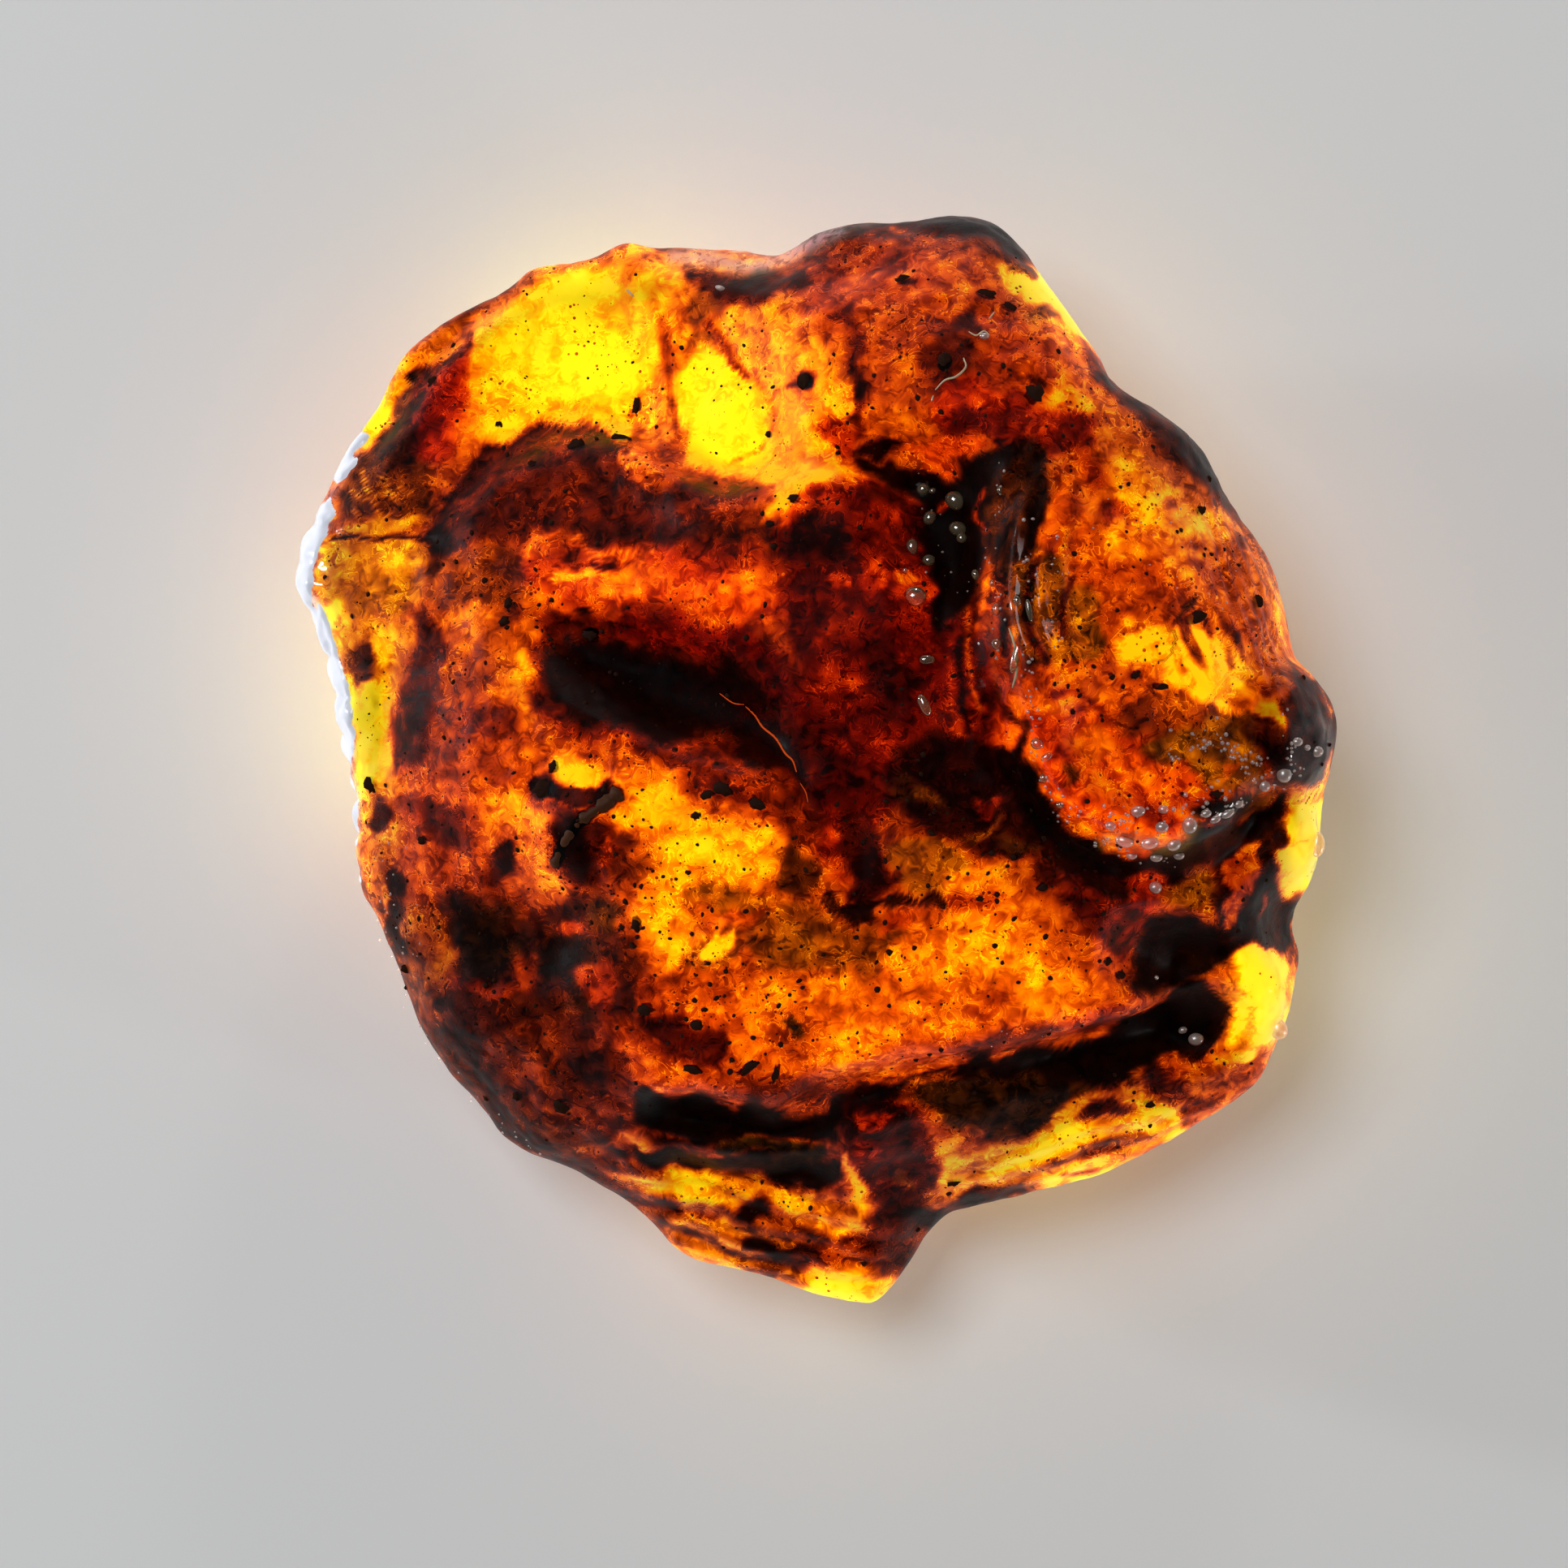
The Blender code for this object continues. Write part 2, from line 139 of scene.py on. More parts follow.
# The edges of resin layers: their line seen from above, with the high side on the left of the way
# they run. step is the drop, lip the roll along the top of it, groove the furrow at its foot.
EDGES = {
    "lobe_lip": dict(
        line=[(9.2, 11.5), (10.2, 7), (10.7, 3.4), (11.4, 0.6), (13.2, -2.4), (16.2, -4.4),
              (19, -4.8), (21.6, -3.9), (24.4, -1.9), (26.6, -1.2)],
        step=1, lip=0.55, groove=1.4, spread=1.5, builds_over=14),
    "long_ledge": dict(
        line=[(-10.6, -18), (-7, -17.7), (-4.2, -18.3), (-1.8, -18.9), (1.2, -17.3),
              (4.4, -16.2), (8.6, -15.4), (13.4, -14.7), (17.4, -13.6), (20.4, -12.2)],
        step=1.3, lip=0.5, groove=1.5, spread=1.45, builds_over=4),
    "low_ledge": dict(
        line=[(-9.8, -21.2), (-6, -21.6), (-2, -21.9), (1.4, -21.7)],
        step=0.4, lip=0.3, groove=0.9, spread=1, builds_over=4),
    "window_scarp": dict(
        line=[(2.8, 16.6), (-1.6, 15.4), (-5.4, 14.6), (-8, 16.2), (-10.4, 17.8), (-13.6, 17.7),
              (-17, 15.9), (-19.6, 13.6), (-21.2, 11.6)],
        step=0.9, lip=0.35, groove=0.4, spread=1.5, builds_over=5),
    "bevel_crease": dict(
        line=[(-16.2, 26.2), (-18.6, 23.9), (-21.2, 20.9), (-23.4, 18), (-25, 15.2)],
        step=0.3, lip=0.3, groove=0.6, spread=0.9, builds_over=3),
    "side_furrow": dict(
        line=[(-21.6, 8), (-21.8, 3.6), (-22.2, -1.8)],
        step=0, lip=0, groove=0.8, spread=1.4, builds_over=3),
    "ridge_seam": dict(
        line=[(-4.6, 4), (-2.4, 2.4), (-0.8, -0.4), (0.6, -3.6)],
        step=0.35, lip=0.5, groove=0.3, spread=1.2, builds_over=4),
}

END_FADE = 3.0  # the length over which an edge fades at its last end
# In spreads: the step's half width, where the high and the low side have died away to 1/e, and how
# far the roll and the furrow lie from the line and their width.
STEP_HALF, HIGH_FADE, LOW_FADE, ROLL_AWAY, ROLL_WIDTH = 0.4, 5, 9, 0.9, 0.8

# Folds of resin that hang down the lobe's inner side, beside the hollow.
FOLDS_AROUND = ((11.6, 9.6), (3.0, 7.6), 4)  # centre, radii, turn in degrees
FOLD_SPACING = 2.3
FOLD_HEIGHT = 0.42
FOLD_BEND = 0.055  # how they bend towards the lobe's lip, per millimetre
FOLD_EDGE = (0.5, 1.25)  # where in their oval they fade

# Rounded scallops along the thin long side.
SCALLOP_SPACING = math.radians(4.4)
SCALLOP_DEPTH = 0.28
SCALLOP_POWER = 9  # how soon they fade above and below the rim
SCALLOP_FROM, SCALLOP_TO, SCALLOP_FADE = math.radians(150), math.radians(196), 0.1

# Small lumps all over: size across, height.
LUMPS = [(9.0, 0.55), (4.6, 0.34), (2.4, 0.16)]
BELLY_LUMPS = [(13.0, 0.75), (6.0, 0.4), (3.0, 0.18)]

# Finer relief than the solid's: size across and height of the small wrinkles.
WRINKLES, BELLY_WRINKLES = [(1.25, 0.085), (0.62, 0.045)], 0.4  # and the belly's share of them
EDGE_WANDER = [(3.4, 0.42), (1.5, 0.5), (0.7, 0.32)]  # how far a cloud's edge wanders, by size
CURTAIN_SPACING, CURTAIN_HEIGHT = 0.95, 0.11  # the fine pleats on the folds
LAYER_EDGE_FADE, LAYER_BEND, LAYER_BEND_SIZE = (0.6, 1.1), 0.5, 3.0
# Thin layers that show as ridges: centre, radii, turn, way across them in degrees, spacing, height.
LAYERS = [
    ((-3, -25.5), (9, 3.6), -12, 76, 1.35, 0.16),
    ((15, -21.6), (8, 2.4), 17, 106, 0.85, 0.11),
    ((23.5, 9), (2.6, 7), 18, 16, 0.7, 0.07),
    ((21.6, 4.8), (2.4, 2), -20, 60, 0.55, 0.06),
]
THIN_STREAK, THIN_WANDER = 0.2, 0.25  # streaks under this half width keep this share of the wandering
PLAIN_GLOW, PLAIN_HUE = 0.5, 0.15  # what the clouds are laid on
# All hues are moved by this much, and then stained by value noise of this strength and size.
HUE_SHIFT, HUE_STAIN, STAIN_SIZE = -0.08, 0.16, 5.5
EDGE_SHARP = 0.65  # share of a cloud's own softness that is kept
PITS = 90  # small round pits in the crown
PIT_RADII, PIT_DEPTHS = (0.22, 0.6), (0.05, 0.16)
PITS_WITHIN, PITS_MIDDLE = 0.48, 0.8  # they lie in this share of the lump's size, spread by the root
# Hair cracks: depth, half width and line.
CRACKS = [
    (0.14, 0.12, [(-5.2, 23.9), (-4.6, 22.8), (-3.9, 21.6), (-3.2, 20.8), (-2.3, 19.9), (-2, 18.6)]),
    (0.1, 0.12, [(-8.2, 24.4), (-8, 22), (-7.6, 19.6), (-7.2, 17)]),
    (0.12, 0.14, [(-26.4, 12.5), (-24.4, 12.35), (-22.6, 12.45), (-20.8, 12.1)]),
    (0.08, 0.1, [(-18.2, 23.2), (-16.6, 22.3), (-14.6, 22)]),
    (0.12, 0.16, [(0.4, -7.4), (2.4, -7.8), (4.4, -7.6), (7.2, -7.4)]),
]

# Ovals where the glow is made darker or, under 0, clearer than the clouds give, partly as the resin's own
# tone and partly as painted shade and light: share, centre, radii, turn.
SHADES = [
    (0.38, -22.8, -11.6, 4, 6, 20), (0.42, -18.8, -18.2, 5.4, 3.2, -42), (0.18, -6, -18.6, 7, 3, 0),
    (0.12, -9, -12.4, 5, 3.4, 0), (0.12, 4.6, -13.6, 6, 2.4, 8), (0.16, -8.4, -24.4, 4.6, 2.2, -28),
    (0.14, -1.4, 1.6, 4.4, 5, 0), (0.1, -20.8, 22.8, 2, 4, -35), (-0.12, 26.6, -10.6, 2.2, 6, 0),
    (-0.08, 1, -28.4, 3, 1.6, 0), (-0.12, 14.4, -22.2, 8, 1.6, 14), (-0.16, 15.4, 22.4, 2.2, 4, 35),
    (0.85, 21.3, 16.4, 5.6, 2.2, -50), (0.35, -2.2, -27.8, 2.4, 1, -20), (0.8, 10, -23.9, 2.8, 1.2, 10),
    (0.5, -1.4, -17.8, 4.8, 0.8, 5), (0.34, -20, 24.4, 4.8, 1.5, 42), (0.24, -13.4, 27.6, 5, 0.9, 12),
    (0.35, -1.2, -25.8, 2.2, 0.7, 0), (0.25, -9.8, -5.3, 1.5, 1.5, 0), (0.85, 8.2, 29.2, 4.8, 1.2, -5),
    (0.5, 16.4, -20.9, 3.4, 1.3, 15), (0.22, -6.8, -26.8, 3, 1.2, -30), (0.35, 10.1, -14.8, 3.4, 0.7, 10),
    (0.35, 14.2, -8.6, 2.2, 1.6, 30), (0.3, 16.2, -10.9, 1.7, 1.5, 0), (0.26, -20, 3, 1.6, 4.4, 4),
    (0.2, -16.4, 10.4, 1.8, 1.4, 0), (-1.7, -1.2, 14, 2.2, 1.2, 0), (-0.7, 19.8, 4, 1.8, 1, 0),
    (-0.3, -17.4, 17.9, 1.7, 0.9, 20), (-0.4, -4.2, 15.6, 2, 0.8, 0), (-0.2, 3, 4, 6, 8, 0),
    (0.42, -9.4, 12.4, 7.4, 1, -5), (0.3, -4.2, 10.9, 1.6, 1, 0), (0.4, 6.4, 20.8, 0.9, 1.2, 0),
    (0.25, 16.4, 20.4, 2.4, 1, -35), (0.35, -19.2, -4.2, 1.6, 1.4, 0), (0.45, 21.9, -2.7, 1.6, 0.7, 20),
    (0.3, 5, 23.2, 1.4, 1, 0), (0.25, -17.9, 5, 1.4, 1.2, 0), (0.3, -8.1, -12.1, 1.6, 0.9, 0),
    (0.35, -1.5, -26.5, 2, 0.8, 0), (0.35, -25.8, 16.3, 0.9, 1.8, -30), (0.6, 10.8, 27.8, 1.9, 1.2, -50),
    (0.25, -5.6, 11.5, 3.6, 1, -4), (0.35, -17.2, -6.3, 2.8, 1.6, 30), (0.5, 26.9, -10.3, 1, 2, 0),
    (0.6, 1.2, 28.8, 2.4, 1, 20), (0.5, -17.6, 25.9, 3, 0.9, 32), (0.3, 4.2, -28.4, 1.4, 1.2, 0),
    (0.3, -1.6, -28.5, 1.4, 0.8, 0), (-0.8, 26.2, -4.1, 1.2, 1.4, 0), (0.3, -10.2, -24, 2, 0.8, -20),
    (0.4, -1, -14.4, 1.6, 1.3, 0), (0.5, 11.4, -14.8, 4, 0.7, 6), (0.45, 1.8, 20.7, 1, 1.6, 0),
    (0.45, -1.6, -17.4, 4.4, 0.8, 0), (0.3, -8.6, -25.4, 1.6, 0.8, -20), (0.4, -12, 28, 2, 0.8, 0),
    (0.5, 17, 19.5, 2.2, 1.1, -35), (0.35, -15, -7.6, 1.6, 0.9, 0), (0.4, -9.6, 0.1, 1.8, 0.9, 0),
    (0.4, -9.2, -5.6, 1.3, 1.2, 0), (-0.9, 10.3, 1.3, 0.9, 1.2, 0), (0.25, 24.8, 10.2, 1, 2, 0),
    (-0.8, -23.2, 1.7, 1.2, 2, 0), (-0.35, -17.4, 17.4, 2, 0.9, 20), (-0.6, -12.3, 18, 2.2, 0.8, 0),
    (0.5, -13.6, -22.3, 3.2, 0.9, -30), (-2.6, 24.1, 2.2, 1, 1, 0), (-1.3, -12.6, -1.8, 1.2, 1, 0),
    (0.3, -8.1, 28.3, 1.6, 0.8, 0), (0.25, 22.8, -12, 1, 1.4, 0), (0.25, 3.2, -29.4, 1.4, 0.7, 0),
    (0.35, 12.1, -6.1, 1.4, 1.1, 0), (0.2, -4.7, -6.4, 1.6, 1, 0), (-0.4, 13, 19, 1.2, 1, 0),
    (0.35, 16.8, 2.5, 1.2, 0.9, 0), (0.3, 23, 5.9, 1.2, 1, 0), (0.5, 21.8, -2.8, 1.2, 0.8, 0),
    (0.35, -4.5, -22.5, 1.4, 0.8, 0), (-0.7, 11.6, 17.9, 1.2, 1, 0), (0.4, 7.6, 17.7, 1, 1.2, 0),
    (-0.4, 13.4, 24.7, 0.9, 1.2, 30), (0.35, 16.4, -13.4, 1.2, 0.9, 0), (0.45, 15.7, 20.8, 1.3, 1, -35),
    (0.3, -0.8, -28.8, 1, 0.7, 0), (0.2, -23.8, 7.9, 1, 1.2, 0), (0.2, 20.7, 15.8, 1.2, 1, 0),
    (0.25, -16.1, 9.3, 1.2, 1, 0), (0.3, 11.8, -23.4, 1.2, 0.8, 0), (0.3, 4.8, -27.6, 0.9, 0.9, 0),
]

# The rim is painted clearer and less olive than the rest, as light coming through it: over what width, by
# what share, and how much of its olive goes.
RIM_PAINTED_LIGHT_WIDTH, RIM_PAINTED_LIGHT, RIM_PAINTED_LESS_OLIVE = 3.2, 0.35, 0.8
LIT_FADE, FEATHER_FADE, SHINE_FADE = (0.4, 1.2), (0.6, 1.2), (0.5, 1.1)  # where in an oval it fades
# Parts of the rim where its painted light and glow reach further in: how much, centre, radii, turn.
LIT_RIMS = [
    (0.9, 24.6, -11.8, 3, 4.6, 0), (0.8, 14.6, 22.4, 2.2, 4.4, 36), (0.3, -14, 26.6, 8, 2, 14),
    (0.7, 16, -21.4, 9, 2.4, 16), (0.7, 0, -27.6, 6, 2.4, -10), (0.9, 27, -4.6, 1.8, 3, 0),
    (0.3, -22.6, 22, 2, 5, -38),
]

PLAIN_FEATHER, PLAIN_WAY = 0.12, 15
# Where the resin is feathered like frost on glass: how much, the way of its strokes in degrees,
# centre, radii, turn.
FEATHERS = [
    (0.5, 25, 19.4, 12.2, 4.6, 3.2, -30), (0.3, 75, 14.6, 12.6, 2.4, 4.2, 0),
    (0.4, 30, 15.6, 6.6, 3.4, 2.2, 20), (2, 112, 20.6, 5.6, 2.8, 2.6, 20),
    (1.4, 20, 17.2, 6.2, 1.8, 1.2, 10), (0.6, 150, 23, 2.6, 2, 2.4, 0), (0.8, 86, 11.2, 9, 2.4, 5.6, 4),
    (0.3, 60, 13.6, 20.4, 3.4, 2.4, -40), (0.6, 125, 16.6, 22, 2, 2.6, 30),
    (0.3, 8, -6.4, -4.6, 5, 2.6, -4), (0.5, -14, -2.6, -24.8, 8.4, 3.6, -12),
    (0.7, 18, 15.6, -20.4, 8, 2.6, 16), (0.5, 95, -8, 23, 2.2, 5.2, 0),
    (0.6, 115, -1.4, 21.4, 2.6, 4.4, 10), (0.4, 80, -24.4, 3, 1.6, 5.6, 0), (0.4, 70, 26, -12, 2, 4, 0),
    (0.5, 45, 13.6, -1.6, 2.4, 3.4, 30), (0.6, -20, 17.4, -3.6, 3.6, 1.6, 8),
]

# Where the skin shines: centre, radii, turn.
SHINY = [
    (5.6, 14.2, 1, 0.8, 0), (10.6, 6, 2, 7, 6), (26.4, 0.6, 2, 2.6, 0), (17.6, -3.6, 4.6, 1.9, 8),
    (12.4, -0.6, 1.6, 2.4, 30), (22.6, -1.6, 2.6, 1.6, 20), (26.8, -4.6, 1.6, 2.4, 0),
    (25, -14.4, 1.8, 2.2, 0), (-27.6, 8, 1.8, 7, -6), (-25.8, -3, 1.2, 4, 0), (-3.6, 28, 4.4, 1.2, -4),
    (6, 3.6, 0.8, 1.6, 0), (8.6, 22, 1.6, 1, 0),
]
DEPTH_FADE = (-0.5, -0.05)  # how far down the belly's colours have given way to the crown's

# --- The clouds in the resin ------------------------------------------------------------------

def patch(glow, hue, soft, *outline):
    """A cloud with a closed, smooth outline."""
    return "patch", glow, hue, soft, outline, 0


def streak(glow, hue, soft, width, *line):
    """A cloud along a line, width either side of it."""
    return "streak", glow, hue, soft, line, width


def blot(glow, hue, soft, x, y, across, along, turn=0):
    """An oval cloud: centre, radii and turn."""
    return "blot", glow, hue, soft, (x, y, across, along), turn


# Where the resin is clear or dark, seen from above and laid over each other in this order.
# glow goes from 0, black, over brown, orange and gold to 1, the clearest yellow.
# hue goes from -1, olive, over 0, honey, to 1, red. soft is the half width of a cloud's edge.
CLOUDS = [
    # The blunt end's thin rim, with its crease.
    streak(0.72, 0.12, 0.5, 1, (-16.2, 26.9), (-19.2, 25), (-21.5, 23.5), (-23.2, 21.6), (-24.2, 19.6),
           (-25.2, 17.6), (-26.2, 15.8)),
    patch(0.3, -0.15, 0.7, (-22.9, 20), (-20.9, 18.8), (-20.2, 16.8), (-20.7, 14.6), (-21.2, 13.2),
          (-23.5, 13.5), (-25.7, 13.8), (-26.2, 15), (-24.7, 17.4), (-23.7, 19)),
    patch(0.4, 1, 0.6, (-21.8, 21.6), (-20, 22.9), (-18.9, 23.3), (-18.5, 21.5), (-18.9, 19.5),
          (-19.2, 17.4), (-20.4, 16.9), (-22.2, 18.4), (-22.6, 20)),
    blot(0.3, 1, 0.6, -21.3, 19.2, 1, 1.4, -30),
    streak(0.74, -0.2, 0.1, 0.09, (-24.9, 16.2), (-24.6, 15.2), (-24.2, 14.4), (-24, 13.4)),
    streak(0.7, -0.2, 0.1, 0.06, (-23.6, 16), (-23.4, 15), (-22.6, 14.2)),
    streak(0.7, -0.2, 0.1, 0.06, (-25.6, 15), (-24.6, 14.6), (-23.8, 14.9), (-23, 14.6)),
    streak(0.66, -0.2, 0.1, 0.06, (-22.9, 15.2), (-22.4, 14.6), (-22, 14.9)),
    streak(0.66, -0.2, 0.1, 0.06, (-25.4, 13.9), (-24.8, 13.5), (-23.4, 13.7), (-22.8, 13.4)),
    streak(0.22, 0.6, 0.3, 0.3, (-16.4, 26.3), (-17.6, 25.5), (-19, 23.9), (-20.5, 22.5), (-21.6, 21.7),
           (-22.8, 20.9)),
    blot(0.08, -0.4, 0.7, -22.5, 21, 0.6, 0.45, 40),
    blot(0.7, 0.2, 0.6, -18.6, 24.6, 1.6, 0.5, 38),
    # The two clearest windows and what parts them.
    patch(0.86, 0, 0.6, (-18.3, 25), (-16.5, 26.4), (-14.5, 27.6), (-12.2, 27.6), (-9.5, 28.4),
          (-7.6, 26.6), (-7.2, 23.6), (-7.6, 20.5), (-8.8, 19.6), (-10.1, 19.4), (-10.2, 18), (-11.8, 17.9),
          (-13.3, 18.5), (-15, 18.6), (-17, 17.9), (-18.9, 18.8), (-19.1, 21), (-18.8, 23.2)),
    blot(0.72, 0.15, 1, -17.6, 18.9, 1.7, 1.2, 20),
    blot(0.95, -0.05, 1, -14.5, 23.4, 3.4, 2.2, 10),
    blot(1, -0.05, 0.9, -12.2, 21.7, 3, 1.5, -12),
    blot(1, -0.05, 0.8, -10.6, 20.9, 1.5, 0.9, -30),
    blot(0.93, -0.05, 0.9, -16.6, 22.2, 1.4, 1.2),
    blot(0.92, -0.05, 0.8, -12.4, 25.4, 2.4, 1, 10),
    blot(0.68, 0.1, 0.7, -9.2, 26.9, 1.3, 0.8, 20),
    blot(0.84, -0.1, 0.7, -10.2, 28.3, 1.2, 0.5),
    blot(0.72, 0, 0.8, -14.6, 27.2, 1.6, 0.45, 8),
    patch(0.7, 0.1, 0.7, (-8, 26.4), (-6.8, 26.2), (-5.6, 24.6), (-5.4, 23), (-6.6, 21.6), (-7.4, 19.6),
          (-7.2, 17.2), (-8.6, 17), (-9.2, 19.6), (-8.4, 22.4)),
    blot(0.5, -0.3, 0.5, -6.2, 24.9, 0.9, 1.1),
    blot(0.5, -0.3, 0.5, -6.1, 22.8, 0.8, 0.6, 30),
    patch(0.95, -0.05, 0.45, (-7.2, 21.3), (-5.6, 22.3), (-4, 21.9), (-2.7, 20.3), (-2, 18.6), (-2.2, 16.5),
          (-4, 15.6), (-6, 15.8), (-6.8, 17.6), (-7.4, 19.6)),
    blot(1, -0.05, 0.9, -5.4, 19.4, 1.9, 2.3, 10),
    patch(0.78, 0.05, 0.7, (-5, 24.8), (-2.6, 25), (0.2, 24.4), (1.2, 22.6), (1.6, 20.4), (0.6, 18),
          (-1.6, 17.4), (-2.2, 19.4), (-3.6, 21.6)),
    patch(0.86, 0, 0.5, (-2.2, 19), (-0.8, 18.6), (0.4, 17.4), (0, 16.2), (-1.4, 15.8), (-2.6, 16.8)),
    patch(0.88, -0.05, 0.45, (-0.2, 22.2), (0.8, 21.8), (1.7, 20.2), (1.9, 18.6), (1, 18.2), (0.2, 19.6)),
    blot(0.2, 0.5, 0.5, -0.5, 20.4, 0.75, 0.45, 10),
    blot(0.36, 0.5, 0.5, -1.2, 19.8, 0.4, 0.3, 10),
    streak(0.36, 0.4, 0.2, 0.22, (-5.2, 23.9), (-4.6, 22.8), (-3.9, 21.6), (-3.2, 20.8)),
    streak(0.66, 0.2, 0.2, 0.14, (-3.2, 20.8), (-2.3, 19.9), (-2, 18.6), (-2.9, 17), (-4.4, 16.2)),
    streak(0.5, 0.3, 0.35, 0.18, (-8.2, 24.4), (-8, 22), (-7.6, 19.6), (-7.2, 17)),
    # The notch in the blunt end.
    patch(0.24, 0.2, 0.6, (-7.2, 27), (-5, 26.9), (-3, 26.8), (-1, 27.6), (1, 28.6), (1.8, 27.2),
          (0.4, 25.8), (-2.2, 25.3), (-4.8, 25.2), (-6.6, 25.9)),
    blot(0.12, 0, 0.7, -4, 26.2, 1.3, 0.45, 10),
    blot(0.56, 0.25, 0.8, 0.8, 24.4, 1.2, 1.4),
    # The brown scarp under the windows.
    patch(0.28, 0.15, 0.6, (-20.6, 11.6), (-19.4, 13.8), (-18.8, 15.6), (-17.2, 16.9), (-15.2, 17.8),
          (-12.8, 17.9), (-10.8, 17.8), (-9.9, 17.2), (-9.4, 15.8), (-8.2, 15.1), (-5.8, 14.8), (-3.2, 15),
          (-1.8, 14), (-2.3, 12.9), (-2.3, 11.9), (-5, 11.7), (-8.5, 11.9), (-11.8, 12.5), (-14.5, 12.8),
          (-16.5, 12.2), (-18.2, 12), (-20, 11.2)),
    blot(0.34, 0.35, 0.9, -9, 13.4, 4.5, 0.9, -6),
    streak(0.13, 0.1, 0.4, 0.3, (-20.6, 12), (-19.6, 14), (-18.4, 15.8), (-16.6, 17.2), (-14.6, 17.9),
           (-12, 17.7), (-10.3, 17.7)),
    blot(0.1, 0, 0.7, -20.2, 12.2, 0.9, 0.5, 40),
    blot(0.64, 0.3, 0.6, -9.1, 16.6, 1.1, 1),
    blot(0.8, 0.1, 0.6, -9.8, 16.8, 0.4, 0.6),
    patch(0.78, 0.1, 0.5, (-3.4, 16), (-1.2, 16.4), (1.2, 16.3), (2.3, 15.4), (1.2, 14.9), (-0.6, 14.2),
          (-2, 14.4)),
    blot(0.6, 0.35, 0.7, -0.8, 13.6, 0.9, 0.7, -20),
    # The long thin side.
    patch(0.66, -0.45, 0.5, (-27, 12.6), (-24, 12.5), (-21.4, 12.2), (-20.3, 11), (-20.8, 9.8),
          (-21.4, 8.6), (-23, 8.2), (-24.3, 8), (-26.4, 7.2), (-27.2, 9)),
    blot(0.86, -0.3, 0.6, -22.2, 11, 1.6, 0.55, -12),
    blot(0.9, -0.3, 0.6, -26.3, 8.4, 0.5, 0.8, 10),
    blot(0.76, -0.4, 0.7, -23.8, 13.1, 2.2, 0.35, 4),
    streak(0.14, -0.1, 0.15, 0.12, (-26.4, 12.5), (-24.4, 12.35), (-22.6, 12.45), (-20.8, 12.1)),
    patch(0.44, -0.1, 0.7, (-20.2, 11), (-18, 11.8), (-16, 11.8), (-15.6, 9.6), (-16.6, 7.6), (-19.2, 8.2),
          (-21, 9)),
    patch(0.56, 0.1, 0.8, (-22.4, 8.4), (-18, 8.2), (-15, 7.4), (-14.6, 5), (-14, 3), (-12.6, 1.6),
          (-14.8, -0.6), (-18, -1.2), (-20.6, -0.6), (-20.4, 4)),
    blot(0.66, 0.05, 0.8, -19, 6.9, 1.6, 0.9, 10),
    blot(0.84, -0.05, 0.6, -15.7, 5.4, 0.7, 1, 30),
    blot(0.78, 0, 0.7, -16.4, 3.9, 0.9, 0.5, -20),
    blot(0.76, 0, 0.7, -15, 2.9, 0.9, 0.7, 20),
    blot(0.4, 0.3, 0.8, -17.6, 2.7, 1.4, 0.9),
    blot(0.36, 0.2, 0.8, -16.2, 7.7, 0.9, 0.4),
    patch(0.7, -0.15, 0.5, (-26.6, 7.4), (-24.4, 7.9), (-22.6, 7.6), (-22.4, 5), (-22.6, 2), (-22.6, -1),
          (-24.2, -2), (-25.6, -2), (-25.6, 2), (-26, 5)),
    blot(0.92, -0.1, 0.6, -24, 6.5, 0.7, 1),
    blot(0.9, -0.1, 0.6, -23.8, 5.5, 0.6, 0.5),
    blot(0.22, 0.1, 0.6, -25.3, 5.5, 0.8, 0.9),
    blot(0.2, 0.1, 0.6, -24.8, 4.5, 0.6, 0.4),
    blot(0.84, -0.05, 0.6, -24.2, 2.9, 1.1, 1.2),
    blot(0.84, -0.1, 0.6, -24.6, -0.3, 0.6, 1.1),
    patch(0.27, 0.3, 0.55, (-22.3, 8), (-21.2, 7.4), (-20.2, 6.2), (-20, 4), (-20.3, 2), (-20.9, 0),
          (-22.3, -0.2), (-22.5, 3), (-22.1, 5.5)),
    blot(0.12, 0.2, 0.8, -21.3, 2.7, 0.7, 1.3),
    # The red glow in the middle, with gold rings in it.
    patch(0.55, 0.65, 0.7, (-14.5, 11.7), (-11.8, 12.1), (-8.6, 11.7), (-5.6, 11.5), (-3.4, 11.6),
          (-2, 10.4), (-1.4, 8.6), (-1.9, 6.9), (-3.6, 7.1), (-5.2, 8.1), (-7.6, 8.6), (-10, 8.3),
          (-12.6, 8.2), (-15, 8.8), (-15.6, 10.4)),
    blot(0.68, 0.7, 0.9, -3.5, 8.9, 1.9, 1.2, -25),
    blot(0.6, 0.85, 0.9, -6.6, 10.2, 2, 0.9, -8),
    blot(0.74, 0.3, 0.8, -9.6, 9.8, 2, 0.6, 4),
    streak(0.84, 0.1, 0.2, 0.2, (-12.6, 12.3), (-11.4, 11.7), (-9.8, 11.2), (-8.4, 11.3)),
    streak(0.84, 0.1, 0.25, 0.25, (-13.8, 10.4), (-11.6, 10.4), (-10, 10.2), (-9, 10.3)),
    streak(0.76, 0.3, 0.2, 0.18, (-15.4, 10.8), (-15, 12), (-13.9, 12.2)),
    streak(0.72, 0.3, 0.2, 0.14, (-12, 11.1), (-10.8, 10.8), (-9.2, 10.8), (-8.8, 11.5)),
    blot(0.28, 0.3, 0.4, -13, 11.4, 0.7, 0.4, 10),
    blot(0.28, 0.3, 0.4, -11.7, 10.8, 0.7, 0.2, 10),
    blot(0.07, 0, 0.4, -12.4, 8.2, 0.4, 0.3),
    patch(0.25, 0.5, 0.8, (-15.2, 7.4), (-12, 8), (-8.6, 8.2), (-5.6, 7.7), (-3.6, 6.6), (-1.6, 6),
